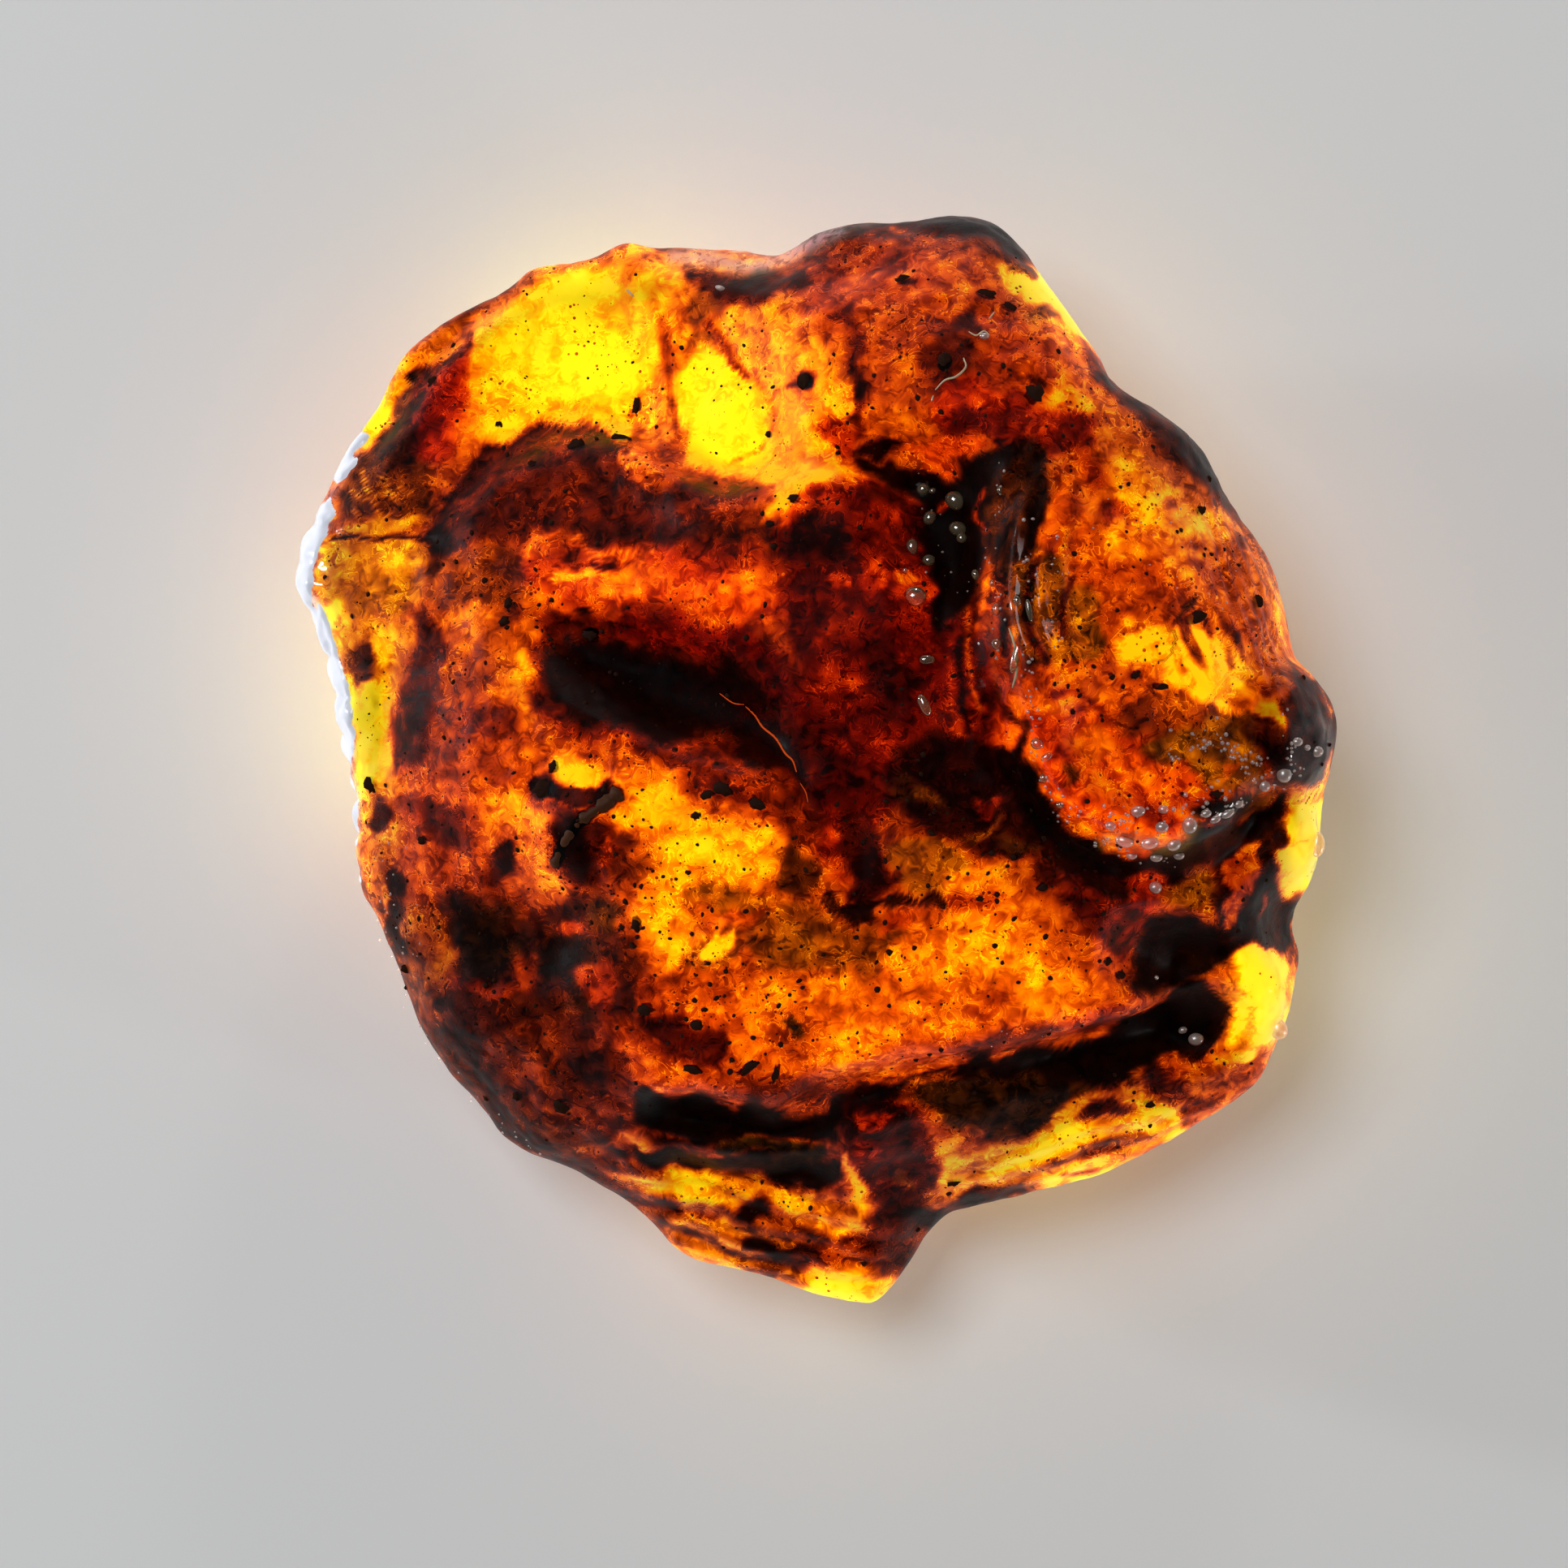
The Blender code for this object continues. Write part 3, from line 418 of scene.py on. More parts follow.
          (0.4, 4), (0.6, 0), (-1.6, -2.2), (-4.4, -0.8), (-7.6, 0.2), (-11, 1), (-13.4, 1.6), (-15, 3.6)),
    streak(0.24, 1, 0.6, 0.7, (-9.6, 7.6), (-6.5, 7), (-4, 6), (-2, 4.6), (-0.4, 3.2)),
    patch(0.06, -0.1, 1, (-14.5, 5.8), (-13, 6.5), (-10.5, 6.6), (-8, 6.3), (-5.5, 5.1), (-3.9, 4.1),
          (-2.8, 2.9), (-1.6, 1.4), (-0.9, 0), (-1.8, -0.9), (-3.2, 0.2), (-5, 0.8), (-7.5, 1.1),
          (-10, 1.7), (-12.2, 2), (-13.6, 3.2), (-14.3, 4.6)),
    streak(0.1, 0.6, 1.1, 0.9, (-3.4, 2.4), (-2, 1), (-1, -0.4)),
    # The blunt shoulder.
    patch(0.3, 0.3, 0.6, (-0.4, 29), (3, 30), (8, 30.4), (10.6, 29.6), (12, 27.9), (10.6, 27.3), (9.2, 28),
          (7, 28.6), (4.6, 28.6), (2, 28.4)),
    streak(0.6, 0.2, 0.3, 0.25, (4.4, 29.2), (5.4, 28.9)),
    patch(0.4, 0.3, 0.9, (-0.4, 28.2), (3, 28.8), (4.6, 27.6), (4.2, 26), (1.8, 25.2), (0.2, 26.2)),
    patch(0.56, 0.2, 0.9, (1.6, 26.6), (4.6, 27.6), (8.4, 27.8), (10.2, 26.8), (9.4, 24.6), (6.4, 23.4),
          (3, 24), (1.4, 25.2)),
    blot(0.68, 0.1, 0.8, 5.9, 26.9, 1.2, 0.4),
    blot(0.62, 0.1, 0.9, 7.2, 25.5, 1, 0.8),
    blot(0.2, 0.2, 0.6, 4.8, 26.1, 0.5, 0.3),
    patch(0.52, 0.15, 0.55, (2.3, 22.5), (3.2, 23.4), (5, 23.2), (6.1, 21.4), (6, 19), (5.3, 17.4),
          (3.4, 17.2), (2.6, 18.8), (2.1, 20.6)),
    blot(0.6, 0.05, 0.9, 4.5, 19, 1.1, 1.6, -10),
    streak(0.24, 0.4, 0.4, 0.3, (1.9, 24.6), (2.1, 22), (2.3, 19.5), (2.5, 17.4)),
    patch(0.38, 0.75, 0.5, (-0.6, 18), (1, 18.3), (2.3, 17.6), (2.2, 16.4), (0.6, 16.6)),
    blot(0.26, 0.15, 0.7, 8.2, 23.2, 1.7, 1.2, 30),
    blot(0.24, 0.2, 0.7, 7.4, 21, 1.5, 0.8, 10),
    blot(0.5, 0.4, 0.7, 9.6, 23.8, 0.8, 0.7),
    # The clear edge of the blunt shoulder.
    patch(0.88, -0.3, 0.5, (10.2, 26.5), (12.4, 27), (13.8, 25.6), (15, 24), (15.8, 22.2), (15, 21.9),
          (14, 22.6), (12.8, 23.4), (12, 24.7), (11, 25.2), (10.2, 25.7)),
    blot(0.98, -0.3, 0.7, 13.3, 25, 0.5, 1.7, 42),
    blot(0.42, -0.6, 0.5, 11.4, 26.5, 0.7, 0.35),
    blot(0.36, -0.5, 0.6, 12.2, 24, 0.9, 0.6, 20),
    # The thick lobe.
    patch(0.5, 0.3, 0.9, (9.6, 23.6), (12, 23.4), (15.6, 22), (18, 19.4), (21.4, 17), (24.4, 12.6),
          (26.4, 7), (25, 3), (20, 1), (13, 2), (12, 8), (11, 16), (8.6, 19.4)),
    blot(0.62, 0.25, 0.8, 13.2, 20.2, 1.2, 0.8, -15),
    blot(0.62, 0.2, 0.8, 14.8, 19.2, 1.1, 0.5, -20),
    blot(0.22, 0.1, 0.5, 11.6, 20.4, 0.6, 0.3),
    patch(0.5, 0.85, 0.5, (6.9, 19.6), (8.4, 20), (9.8, 19.2), (9.6, 18), (7.8, 17.6), (6.9, 18.4)),
    patch(0.26, 0.9, 0.7, (9.4, 18.8), (12, 18.9), (14.8, 18.1), (15, 16.6), (13.4, 15.8), (11.4, 16.2),
          (9, 16.8), (7.6, 17.4)),
    patch(0.54, 0.75, 0.45, (5.1, 17.1), (6.4, 17.4), (8, 17), (8.2, 15.9), (6.6, 15.7), (5.3, 16.2)),
    blot(0.06, 0.1, 0.5, 3.7, 16.7, 1.4, 0.5, 8),
    patch(0.36, 0.2, 0.8, (16.2, 20), (18.6, 19), (20.6, 17.9), (22, 16.2), (22.8, 14.2), (21.4, 14.3),
          (20.3, 15.7), (19.2, 16.5), (18.3, 17.8), (17.1, 18.9)),
    patch(0.68, 0.05, 0.7, (15.4, 17.2), (17.4, 17.3), (19, 16.2), (20.4, 15), (21.8, 14.2), (23.6, 13.2),
          (23.2, 11.8), (21, 11.1), (20.2, 10), (18.2, 10.8), (16.4, 10.6), (15, 12), (14.8, 13.8),
          (15.4, 15.4)),
    blot(0.92, 0, 0.8, 20.2, 13, 0.9, 1.4, -10),
    blot(0.84, 0, 0.8, 18.6, 14.3, 1.3, 0.6, 20),
    blot(0.76, 0, 0.8, 17.2, 15.9, 1.2, 0.8, -30),
    blot(0.8, 0, 0.7, 22, 13.3, 0.9, 0.5, -20),
    blot(0.8, 0, 0.7, 20.4, 10.7, 0.7, 0.5, 20),
    blot(0.74, 0.1, 0.7, 16.2, 11.5, 0.9, 0.6),
    blot(0.42, 0.5, 0.7, 16.6, 13.3, 1, 0.4),
    blot(0.38, 0.6, 0.8, 14.6, 15.4, 0.8, 0.9, 20),
    blot(0.66, 0.35, 0.6, 13.1, 13.2, 0.8, 1),
    blot(0.56, 0.5, 0.6, 13.5, 14.9, 0.7, 0.6),
    blot(0.48, 0.15, 0.9, 17, 8.8, 2.2, 1.1),
    blot(0.54, 0.15, 0.9, 22.6, 9, 2, 2.4, 20),
    blot(0.6, 0.1, 0.7, 24.6, 9.6, 0.4, 3, 20),
    blot(0.18, -0.3, 0.5, 19.6, 8.3, 0.9, 0.2, 30),
    # The hollow beside the lobe, and what hangs over it.
    patch(0.22, 0.85, 0.8, (-1, 13.6), (1.4, 14.6), (4, 14.4), (6.2, 12), (7.6, 8), (9.6, 6), (10.4, 2),
          (9, -0.6), (5, -1.6), (3, -4.6), (0.4, -5), (0.2, -1), (-0.2, 4), (-1.4, 8), (-2, 11.6)),
    blot(0.12, 0.5, 0.7, 0.4, 11.9, 1, 1.4),
    blot(0.46, 0.85, 0.5, 0.9, 9.6, 0.6, 0.5),
    blot(0.42, 0.9, 0.5, 3.1, 10, 0.8, 0.8),
    blot(0.3, 0.9, 0.6, 3.6, 12.6, 0.8, 0.9),
    blot(0.36, 0.7, 0.8, 1.4, 7, 1.2, 0.9),
    blot(0.34, 0.8, 0.8, 1.4, 4.4, 1.3, 0.7),
    blot(0.12, 0.5, 0.8, 4, 4.4, 1.2, 1.6, 20),
    blot(0.34, 0.6, 0.7, 6.4, 6.2, 0.9, 0.6),
    blot(0.34, 0.6, 0.8, 8.2, 2, 1.2, 1.1, 30),
    blot(0.32, 0.9, 0.8, 3.4, 1, 1.4, 0.9),
    patch(0.03, -0.1, 0.45, (2.3, 16.2), (3.6, 15.9), (5.2, 15.5), (8.2, 15.9), (9.8, 16.4), (9.5, 14.2),
          (9.2, 12.6), (9.2, 10.6), (8.8, 9), (8.2, 7.4), (6.9, 7.2), (6.4, 9.4), (6.2, 11), (5.2, 12.2),
          (5.2, 13.6), (4, 14.4), (3, 15)),
    patch(0.11, -0.35, 0.5, (9.2, 16.4), (11, 16.8), (12.3, 16.4), (12.6, 14.6), (12.2, 12.6), (11.6, 11.2),
          (10.4, 10.4), (9.4, 11.2), (9.1, 13.6)),
    blot(0.24, -0.3, 0.7, 10.3, 13, 0.8, 2.4, 4),
    blot(0.45, 0.9, 0.4, 5.3, 9.1, 1.2, 0.9, 10),
    blot(0.66, 0.5, 0.5, 4.9, 9.8, 0.6, 0.3),
    blot(0.46, 0.9, 0.5, 6.6, 13.5, 0.6, 0.3, 30),
    streak(0.42, 0.8, 0.2, 0.14, (9, 14.4), (8.6, 13.2), (9.2, 12.4)),
    patch(0.4, -0.6, 0.5, (10.6, 10.8), (12.6, 11.2), (14.2, 9.8), (15, 8), (14.8, 6.2), (13.8, 5.1),
          (12, 4.8), (11, 5.6), (10.3, 7), (10.2, 9)),
    streak(0.5, -0.6, 0.35, 0.4, (12.9, 10.4), (12.2, 8.8), (12.2, 7), (12.8, 5.6)),
    streak(0.55, -0.55, 0.3, 0.3, (14.2, 8.6), (13.6, 7.4), (13.8, 6)),
    streak(0.14, 0.2, 0.2, 0.16, (11.8, 10.8), (11.2, 8.8), (11.3, 6.8), (12.2, 5.2)),
    streak(0.16, 0.2, 0.2, 0.16, (13.7, 9.8), (13, 8.4), (13, 6.6)),
    streak(0.52, -0.4, 0.2, 0.14, (10.6, 10.4), (10.3, 8.2), (10.5, 6.4)),
    streak(0.34, -0.1, 0.3, 0.14, (9.8, 10.6), (9.4, 8.4), (9.4, 6), (9.8, 3.4)),
    streak(0.12, 0.4, 0.3, 0.24, (8.9, 8.6), (8.8, 6.4), (9.2, 3.6), (9.6, 1)),
    streak(0.5, 0.5, 0.2, 0.12, (9.5, 9.6), (9.5, 7.8)),
    blot(0.7, 0.4, 0.3, 9.45, 9.3, 0.22, 0.26),
    blot(0.7, 0.4, 0.3, 9.6, 8.2, 0.25, 0.3),
    streak(0.1, 0.3, 0.2, 0.13, (10, 9.8), (9.9, 8), (10.1, 5.6)),
    streak(0.46, -0.1, 0.15, 0.11, (8.3, 7.4), (8.2, 5), (8.8, 2.6)),
    streak(0.36, 0.7, 0.2, 0.13, (7.4, 6.4), (7.2, 4), (7.6, 1.4)),
    streak(0.08, 0.5, 0.2, 0.17, (7.9, 6.6), (7.7, 4.2), (8.2, 1.6)),
    streak(0.44, 0.6, 0.3, 0.22, (9.9, 3), (10.3, 1.4), (10.8, 0.2)),
    blot(0.36, 0.6, 0.7, 10, 1.3, 0.7, 1.2),
    # The fan in the lobe, and its pan.
    patch(0.7, 0.1, 0.5, (15.4, 6.4), (17, 7.4), (19, 7.5), (20.6, 6.7), (21.6, 6.5), (22.8, 5.8),
          (23.7, 4.4), (23.4, 2.9), (22, 2.5), (20.6, 3.4), (18.6, 4.6), (16.6, 5.4)),
    blot(0.86, 0, 0.8, 21.9, 4.6, 1.3, 0.9, -20),
    blot(0.82, 0.05, 0.7, 20.6, 5.6, 1.2, 0.6, -40),
    blot(0.78, 0.05, 0.7, 17.4, 6.5, 1.2, 0.4, 10),
    patch(0.64, 0.25, 0.45, (11.4, 3.5), (13.2, 4.3), (14.6, 5.1), (15.6, 4.7), (16.3, 3.2), (15, 2.5),
          (13, 2.4), (11.8, 2.7)),
    streak(0.38, 0.6, 0.25, 0.2, (12.6, 3.6), (14, 3.4), (15.4, 2.8)),
    patch(0.34, 0.1, 0.5, (16.4, 3.3), (18, 3.8), (20.2, 3.5), (21.6, 2.6), (20.4, 2), (18, 1.6),
          (16.6, 1.9)),
    patch(0.52, 0.7, 0.6, (11.2, 2.2), (13, 2.6), (16, 2.2), (18, 1.6), (20, 1), (21.6, -1.6), (20.6, -3.6),
          (18.4, -4.7), (15.8, -4.4), (13.4, -3.2), (12, -1.4), (11.4, 0.4)),
    blot(0.64, 0.1, 0.8, 14.6, 1.3, 1.4, 0.7, -10),
    blot(0.66, 0.3, 0.7, 17, -0.2, 1.2, 0.5, -20),
    blot(0.62, 0.6, 0.8, 16, -2.4, 1.6, 0.7, -30),
    blot(0.36, -0.4, 0.6, 13.6, -0.4, 0.5, 0.8, 20),
    patch(0.44, -0.6, 0.5, (17.2, 1.3), (19.5, 2.2), (21.5, 2.6), (22.8, 1.8), (23.6, 0.4), (23.4, -1.2),
          (21.6, -1.6), (20.2, -0.6), (18.6, -0.1)),
    blot(0.66, 0, 0.6, 21.6, -0.6, 0.6, 0.3, 30),
    blot(0.4, -0.6, 0.6, 23.6, -2, 1.2, 0.6, 20),
    blot(0.1, -0.4, 0.5, 21.4, -2.5, 1.2, 0.6, 14),
    streak(0.62, 0.85, 0.35, 0.4, (11.5, 1.8), (11.9, 0), (13, -2), (14.6, -3.6), (16.6, -4.4),
           (18.8, -4.5), (20.2, -3.6)),
    patch(0.12, -0.3, 0.5, (22.2, 2), (23.2, 2.2), (24.8, 1.4), (26.4, 0.2), (26.8, -1.2), (25.4, -1.7),
          (24, -0.6), (23.2, 0.8)),
    streak(0.42, 0, 0.5, 0.4, (25.6, 5), (24.4, 3.6), (24.2, 2.2)),
    patch(0.13, 0, 0.45, (25.7, 4.7), (27, 5.2), (28.6, 4), (29.2, 2.2), (29, 0), (27.9, -1), (26.2, -0.8),
          (25.3, 0.4), (25, 2), (25.2, 3.4)),
    blot(0.3, 0.1, 0.8, 27.6, 3.7, 0.8, 0.8),
    # The dark groove outside the lobe's lip: its black is painted shade, with flecks of resin in it.
    patch(0.1, 0.1, 0.9, (4.2, 0.4), (7, 1), (9.4, 1.2), (10.6, 1.6), (11.2, -0.6), (12.4, -3), (14, -4.6),
          (16.4, -5.8), (17.2, -7.2), (14.6, -7.4), (13, -6.6), (11, -5.2), (8, -4.2), (5.4, -3.4)),
    streak(0.03, -0.1, 0.35, 0.75, (10.2, 1.4), (10.9, -1.2), (12.4, -3.6), (14.6, -5.2), (17.2, -5.9),
           (20.2, -5.3), (22.6, -4), (25.2, -2.7)),
    blot(0.34, -0.5, 0.7, 8.6, -3.4, 1.4, 0.35, 20),
    blot(0.3, -0.6, 0.7, 5.6, -1.8, 1.6, 0.4, -35),
    blot(0.24, -0.6, 0.8, 10.4, -4.2, 1.2, 0.5, -30),
    blot(0.34, 0.8, 0.5, 8.8, -2, 0.9, 0.35),
    blot(0.38, 0.6, 0.6, 9.9, 1.4, 0.8, 1),
    patch(0.13, 0.4, 0.8, (1.8, -2.4), (4, -3), (4.4, -5.2), (3.8, -7.4), (2.2, -7.3), (1.9, -5.2)),
    blot(0.4, 0.85, 0.6, 1, -3.4, 0.7, 0.6),
    blot(0.5, 0.6, 0.6, 1, -5.7, 0.8, 0.8),
    # The olive corner, the orange field and the ledge below it.
    patch(0.5, -0.55, 0.4, (4.3, -3.9), (6, -3.9), (7.6, -5), (8.2, -5.9), (7.2, -7.3), (5.4, -7.3),
          (4.4, -6.4)),
    patch(0.7, 0.12, 0.45, (7.3, -5.9), (9, -5.8), (10.2, -5.2), (11.4, -6.1), (12.6, -7.4), (14.2, -9.2),
          (16.6, -10.6), (17.6, -12.6), (17.4, -13.6), (14, -14.8), (11, -15.3), (8, -15.8), (5, -16.3),
          (3, -16.8), (0.4, -17.6), (-1.6, -18.4), (-4, -18), (-5.2, -16.2), (-4.2, -14.4), (-4.6, -12.4),
          (-3, -11.6), (0, -12), (2, -11), (3.4, -9.2), (5.6, -8.8), (7.2, -8.2)),
    blot(0.82, 0.05, 0.9, 12.5, -12.1, 1.3, 1.5),
    blot(0.79, 0.05, 0.9, 4.4, -12.8, 1.7, 1.2, 10),
    blot(0.78, 0.05, 0.9, 2, -15, 1.7, 0.9),
    blot(0.76, 0.05, 0.9, 9, -10.2, 1.8, 0.9, -30),
    blot(0.58, 0.3, 0.8, 9.6, -12.9, 1.3, 0.7),
    blot(0.52, 0.5, 0.8, 15, -13.6, 1.8, 0.6, 10),
    patch(0.42, 0.45, 0.4, (7.6, -7), (9, -6.9), (9.2, -7.6), (8, -7.8)),
    patch(0.4, -0.3, 0.6, (0.2, -8.4), (3, -8.2), (5, -8.6), (3.6, -10.2), (2.2, -11), (0, -11.2),
          (-3.2, -11.2), (-3.4, -9.4), (-1.6, -7.6)),
    blot(0.56, 0.5, 0.6, 4.2, -8.5, 1.2, 0.4, 10),
    blot(0.5, -0.5, 0.6, -0.8, -9.8, 1.8, 0.8, 10),
    blot(0.6, 0.1, 0.25, 5.2, -11.8, 0.85, 0.8),
    blot(0.14, -0.2, 0.4, 0.6, -7.9, 0.9, 0.2, -10),
    streak(0.1, -0.2, 0.2, 0.22, (0.4, -7.4), (2.4, -7.8), (4.4, -7.6), (7.2, -7.4)),
    blot(0.26, -0.6, 0.4, -0.9, -14.2, 0.4, 0.8, 10),
    patch(0.3, 0.55, 0.7, (12.6, -6.6), (15.6, -7.2), (18.2, -6), (18.4, -7.6), (16.8, -8.8), (16.2, -10.4),
          (14.6, -9.4)),
    # The corner between the lobe and the toe.
    patch(0.07, -0.3, 0.5, (16.8, -9.2), (18.2, -7.9), (20, -8.2), (22, -9.2), (23.4, -9.8), (22, -10.9),
          (20.4, -12.1), (18.8, -12.4), (17.5, -11.8)),
    patch(0.1, 0, 0.5, (22, -4.2), (25.4, -3), (25.6, -5.2), (26.8, -7.4), (26.6, -9.8), (24.4, -10.2),
          (22.4, -9.6), (21.4, -7)),
    blot(0.46, -0.6, 0.7, 20.5, -6.8, 1.4, 1),
    blot(0.38, 0.8, 0.6, 17.6, -6.8, 0.9, 0.7),
    patch(0.6, 0.4, 0.3, (22.2, -5.5), (23.1, -4.6), (24.3, -4), (23.9, -5.6), (23.6, -6.8), (23, -8.5),
          (22, -8.4), (22.5, -7)),
    blot(0.4, 0.5, 0.5, 24.4, -7.8, 0.3, 0.8, -15),
    patch(0.66, 0.05, 0.5, (25.4, -3), (26.3, -1.6), (28.2, -1.6), (28.4, -4.2), (27.9, -6.2), (26.6, -7.4),
          (25.2, -6.4), (24.9, -4.6)),
    patch(0.94, -0.1, 0.5, (25.3, -4), (26.2, -3), (27, -2.5), (28.2, -2.8), (28.2, -4.4), (27.9, -6),
          (26.6, -6.6), (25.4, -5.8), (25, -4.8)),
    streak(0.5, 0.3, 0.3, 0.3, (27.8, -0.2), (27.7, -1.6), (26.6, -2.4)),
    streak(0.5, 0.2, 0.3, 0.25, (27, -7.2), (26.8, -8.4), (27, -9.8)),
    # The clear toe.
    patch(0.62, 0.1, 0.5, (23.2, -10.5), (24.6, -10.2), (25.5, -10.9), (27.2, -10.8), (27, -12.2),
          (26.4, -13.6), (26.2, -14.8), (25.2, -15.6), (23.8, -16), (22.8, -16.6), (22, -15.4),
          (22.6, -13.8), (22.2, -12.2)),
    patch(0.9, -0.1, 0.5, (23.2, -10.1), (24.6, -9.9), (25.5, -10.4), (26.4, -10.8), (26, -11.6),
          (25.4, -12.6), (25.7, -13.4), (25.7, -14.2), (25.1, -15.1), (24, -15.4), (23.2, -14.4),
          (23, -12.8), (23.2, -11.4)),
    blot(1, -0.1, 0.8, 24.6, -12.2, 0.7, 1.5, 20),
    blot(1, -0.1, 0.7, 25, -14.2, 0.6, 0.7),
    streak(0.66, 0, 0.25, 0.2, (23, -11.6), (23.8, -12.6), (24, -13.8), (23.8, -15.2)),
    blot(0.56, 0.4, 0.6, 22.5, -11.6, 0.5, 0.7),
    patch(0.07, -0.2, 0.45, (20.2, -12.2), (21.6, -11.8), (22.7, -13.2), (22.5, -14.8), (21.6, -15.9),
          (20.2, -15.6), (19.2, -14.4)),
    patch(0.42, 0.4, 0.6, (18.4, -15.8), (20.6, -16.4), (22.6, -16.6), (24.2, -16.6), (25.8, -16),
          (24.6, -18.4), (21.8, -20.4), (20.2, -19.4), (19.4, -18)),
    blot(0.8, 0, 0.7, 23.4, -16.4, 0.9, 0.6, 20),
    blot(0.58, 0.3, 0.7, 21.2, -17.2, 0.8, 0.5),
    blot(0.16, 0.3, 0.5, 19, -16.8, 0.5, 0.7, 30),
    # The golden layers of the toe and the tip.
    patch(0.72, -0.1, 0.5, (6.2, -20.6), (7.4, -21.2), (8.6, -21.5), (10, -20.7), (12.2, -20.1),
          (13.6, -18.7), (15, -18.1), (16.4, -18.3), (17.6, -17.1), (18.7, -17.5), (19.5, -18.5),
          (20.4, -19.6), (20.2, -21), (17, -22.6), (13.6, -23.6), (10.4, -24.2), (8.4, -23.7), (7, -22.4)),
    blot(0.9, -0.1, 0.7, 14.1, -20.6, 0.9, 1.9, 8),
    blot(0.84, -0.1, 0.6, 11, -22.3, 1.8, 0.4, 14),
    blot(0.9, -0.2, 0.6, 13, -23.3, 1.7, 0.3, 14),
    blot(0.86, -0.1, 0.6, 7.3, -21.9, 0.7, 0.9, -30),
    blot(0.86, -0.05, 0.5, 19.2, -19.3, 0.8, 0.6),
    blot(0.76, 0, 0.6, 17.7, -18, 0.9, 0.8),
    blot(0.14, 0.4, 0.5, 16, -19.2, 1.2, 0.7),
    streak(0.52, 0.2, 0.25, 0.14, (12.6, -22.2), (15.4, -21.5), (18.6, -20.6)),
    streak(0.5, 0.2, 0.25, 0.14, (13.8, -22.8), (16.4, -22.2), (19.2, -21.2)),
    streak(0.46, 0.2, 0.3, 0.2, (6.6, -22.9), (8, -23.8), (10.6, -23.6)),
    # The black furrows under the ledges: painted shade, with resin colours in them.
    patch(0.04, -0.2, 0.35, (19.6, -13), (18, -13.9), (14.2, -14.9), (10.6, -15.6), (7, -16.2),
          (4.4, -16.9), (1.6, -17.7), (-1, -18.9), (-4, -18.3), (-7.6, -17.9), (-9.8, -18.2), (-9.8, -19.3),
          (-7, -20), (-4, -20.2), (-1, -20.2), (0.6, -20.4), (1.4, -19), (2.6, -18.2), (5, -17.6),
          (7, -17.4), (9.8, -17), (12, -17.2), (15.6, -17.4), (18, -16.9), (20, -15.9), (21, -14.4)),
    patch(0.17, -0.7, 0.6, (5.8, -17.4), (9, -16.8), (13, -17), (15, -17.6), (13.4, -18.6), (12.6, -19.6),
          (10.4, -20.2), (8.2, -20.4), (7, -19)),
    blot(0.4, -0.2, 0.6, 6.4, -16.9, 1.4, 0.35, 10),
    patch(0.05, -0.2, 0.35, (-9.4, -21), (-8, -20.7), (-6, -21.2), (-3, -21.4), (0.4, -21.2), (1.6, -21.8),
          (1, -22.8), (-1.6, -22.6), (-4.4, -22.2), (-7, -22.1), (-9.2, -21.8)),
    blot(0.3, 0.2, 0.6, -7, -20.5, 1.3, 0.4),
    streak(0.2, -0.9, 0.35, 0.4, (-5, -20.5), (-2.4, -20.9), (-0.2, -21)),
    blot(0.84, 0, 0.5, -10.1, -20.6, 1.3, 0.6, 8),
    # The tip.
    patch(0.24, 0.4, 0.6, (2.4, -17.8), (5.6, -18), (6.4, -20.4), (6.6, -22.8), (5.4, -24), (3.2, -24.6),
          (2.6, -22.6), (1.6, -20.6)),
    blot(0.12, 0.4, 0.4, 3.5, -19.2, 2, 1.8),
    blot(0.48, 0.8, 0.4, 3.4, -19.2, 1, 0.75),
    blot(0.2, 0.5, 0.4, 3.3, -19.5, 0.3, 0.25),
    blot(0.36, 0.7, 0.6, 3, -21, 0.9, 0.8),
    blot(0.38, -0.5, 0.5, 4.6, -23.1, 0.7, 0.4, 20),
    patch(0.7, -0.1, 0.5, (-0.6, -23.2), (1, -23.3), (2.2, -23.4), (2.8, -24.8), (2.6, -25.6), (0.6, -25.5),
          (-0.8, -24.6)),
    patch(0.86, -0.15, 0.4, (-9.8, -22.7), (-8.4, -23.5), (-6.6, -24.1), (-4.6, -24.2), (-2.6, -23.9),
          (-0.6, -24.4), (-0.2, -23.2), (-2.2, -22.9), (-4.2, -22.8), (-6.2, -22.2), (-8.4, -22.4)),
    blot(0.96, -0.15, 0.8, -6.9, -23.2, 1.5, 0.5),
    streak(0.3, 0.5, 0.35, 0.35, (-11.2, -23.2), (-9.2, -24.2), (-7, -24.9), (-5.6, -25)),
    blot(0.09, 0, 0.5, -3.2, -24.8, 1.3, 0.4, -4),
    streak(0.8, -0.1, 0.25, 0.25, (-7.4, -25), (-4.8, -25.5), (-2.6, -26), (-1.2, -26.2)),
    patch(0.74, -0.2, 0.45, (-8.4, -25.6), (-6.4, -25.8), (-4.4, -26.6), (-3.4, -27.4), (-4.2, -28.4),
          (-6.6, -28), (-8.2, -26.8)),
    streak(0.1, 0.1, 0.4, 0.5, (-3.8, -26.4), (-1.8, -26.8), (0.6, -26.4)),
    streak(0.4, 0.3, 0.3, 0.2, (-7.6, -26.2), (-5.2, -26.8), (-3.6, -27.6), (-1.6, -28.2)),
    patch(0.26, 0.4, 0.5, (-1.4, -27.6), (0.8, -27.4), (3.4, -28), (4.2, -27.6), (3.6, -26.2), (1, -26),
          (-1, -26.8)),
    patch(0.92, -0.15, 0.4, (-1.8, -28.3), (0.4, -27.9), (2, -28), (3.2, -28.5), (4.6, -28.6), (4, -30.2),
          (2, -30.4), (-0.4, -29.6)),
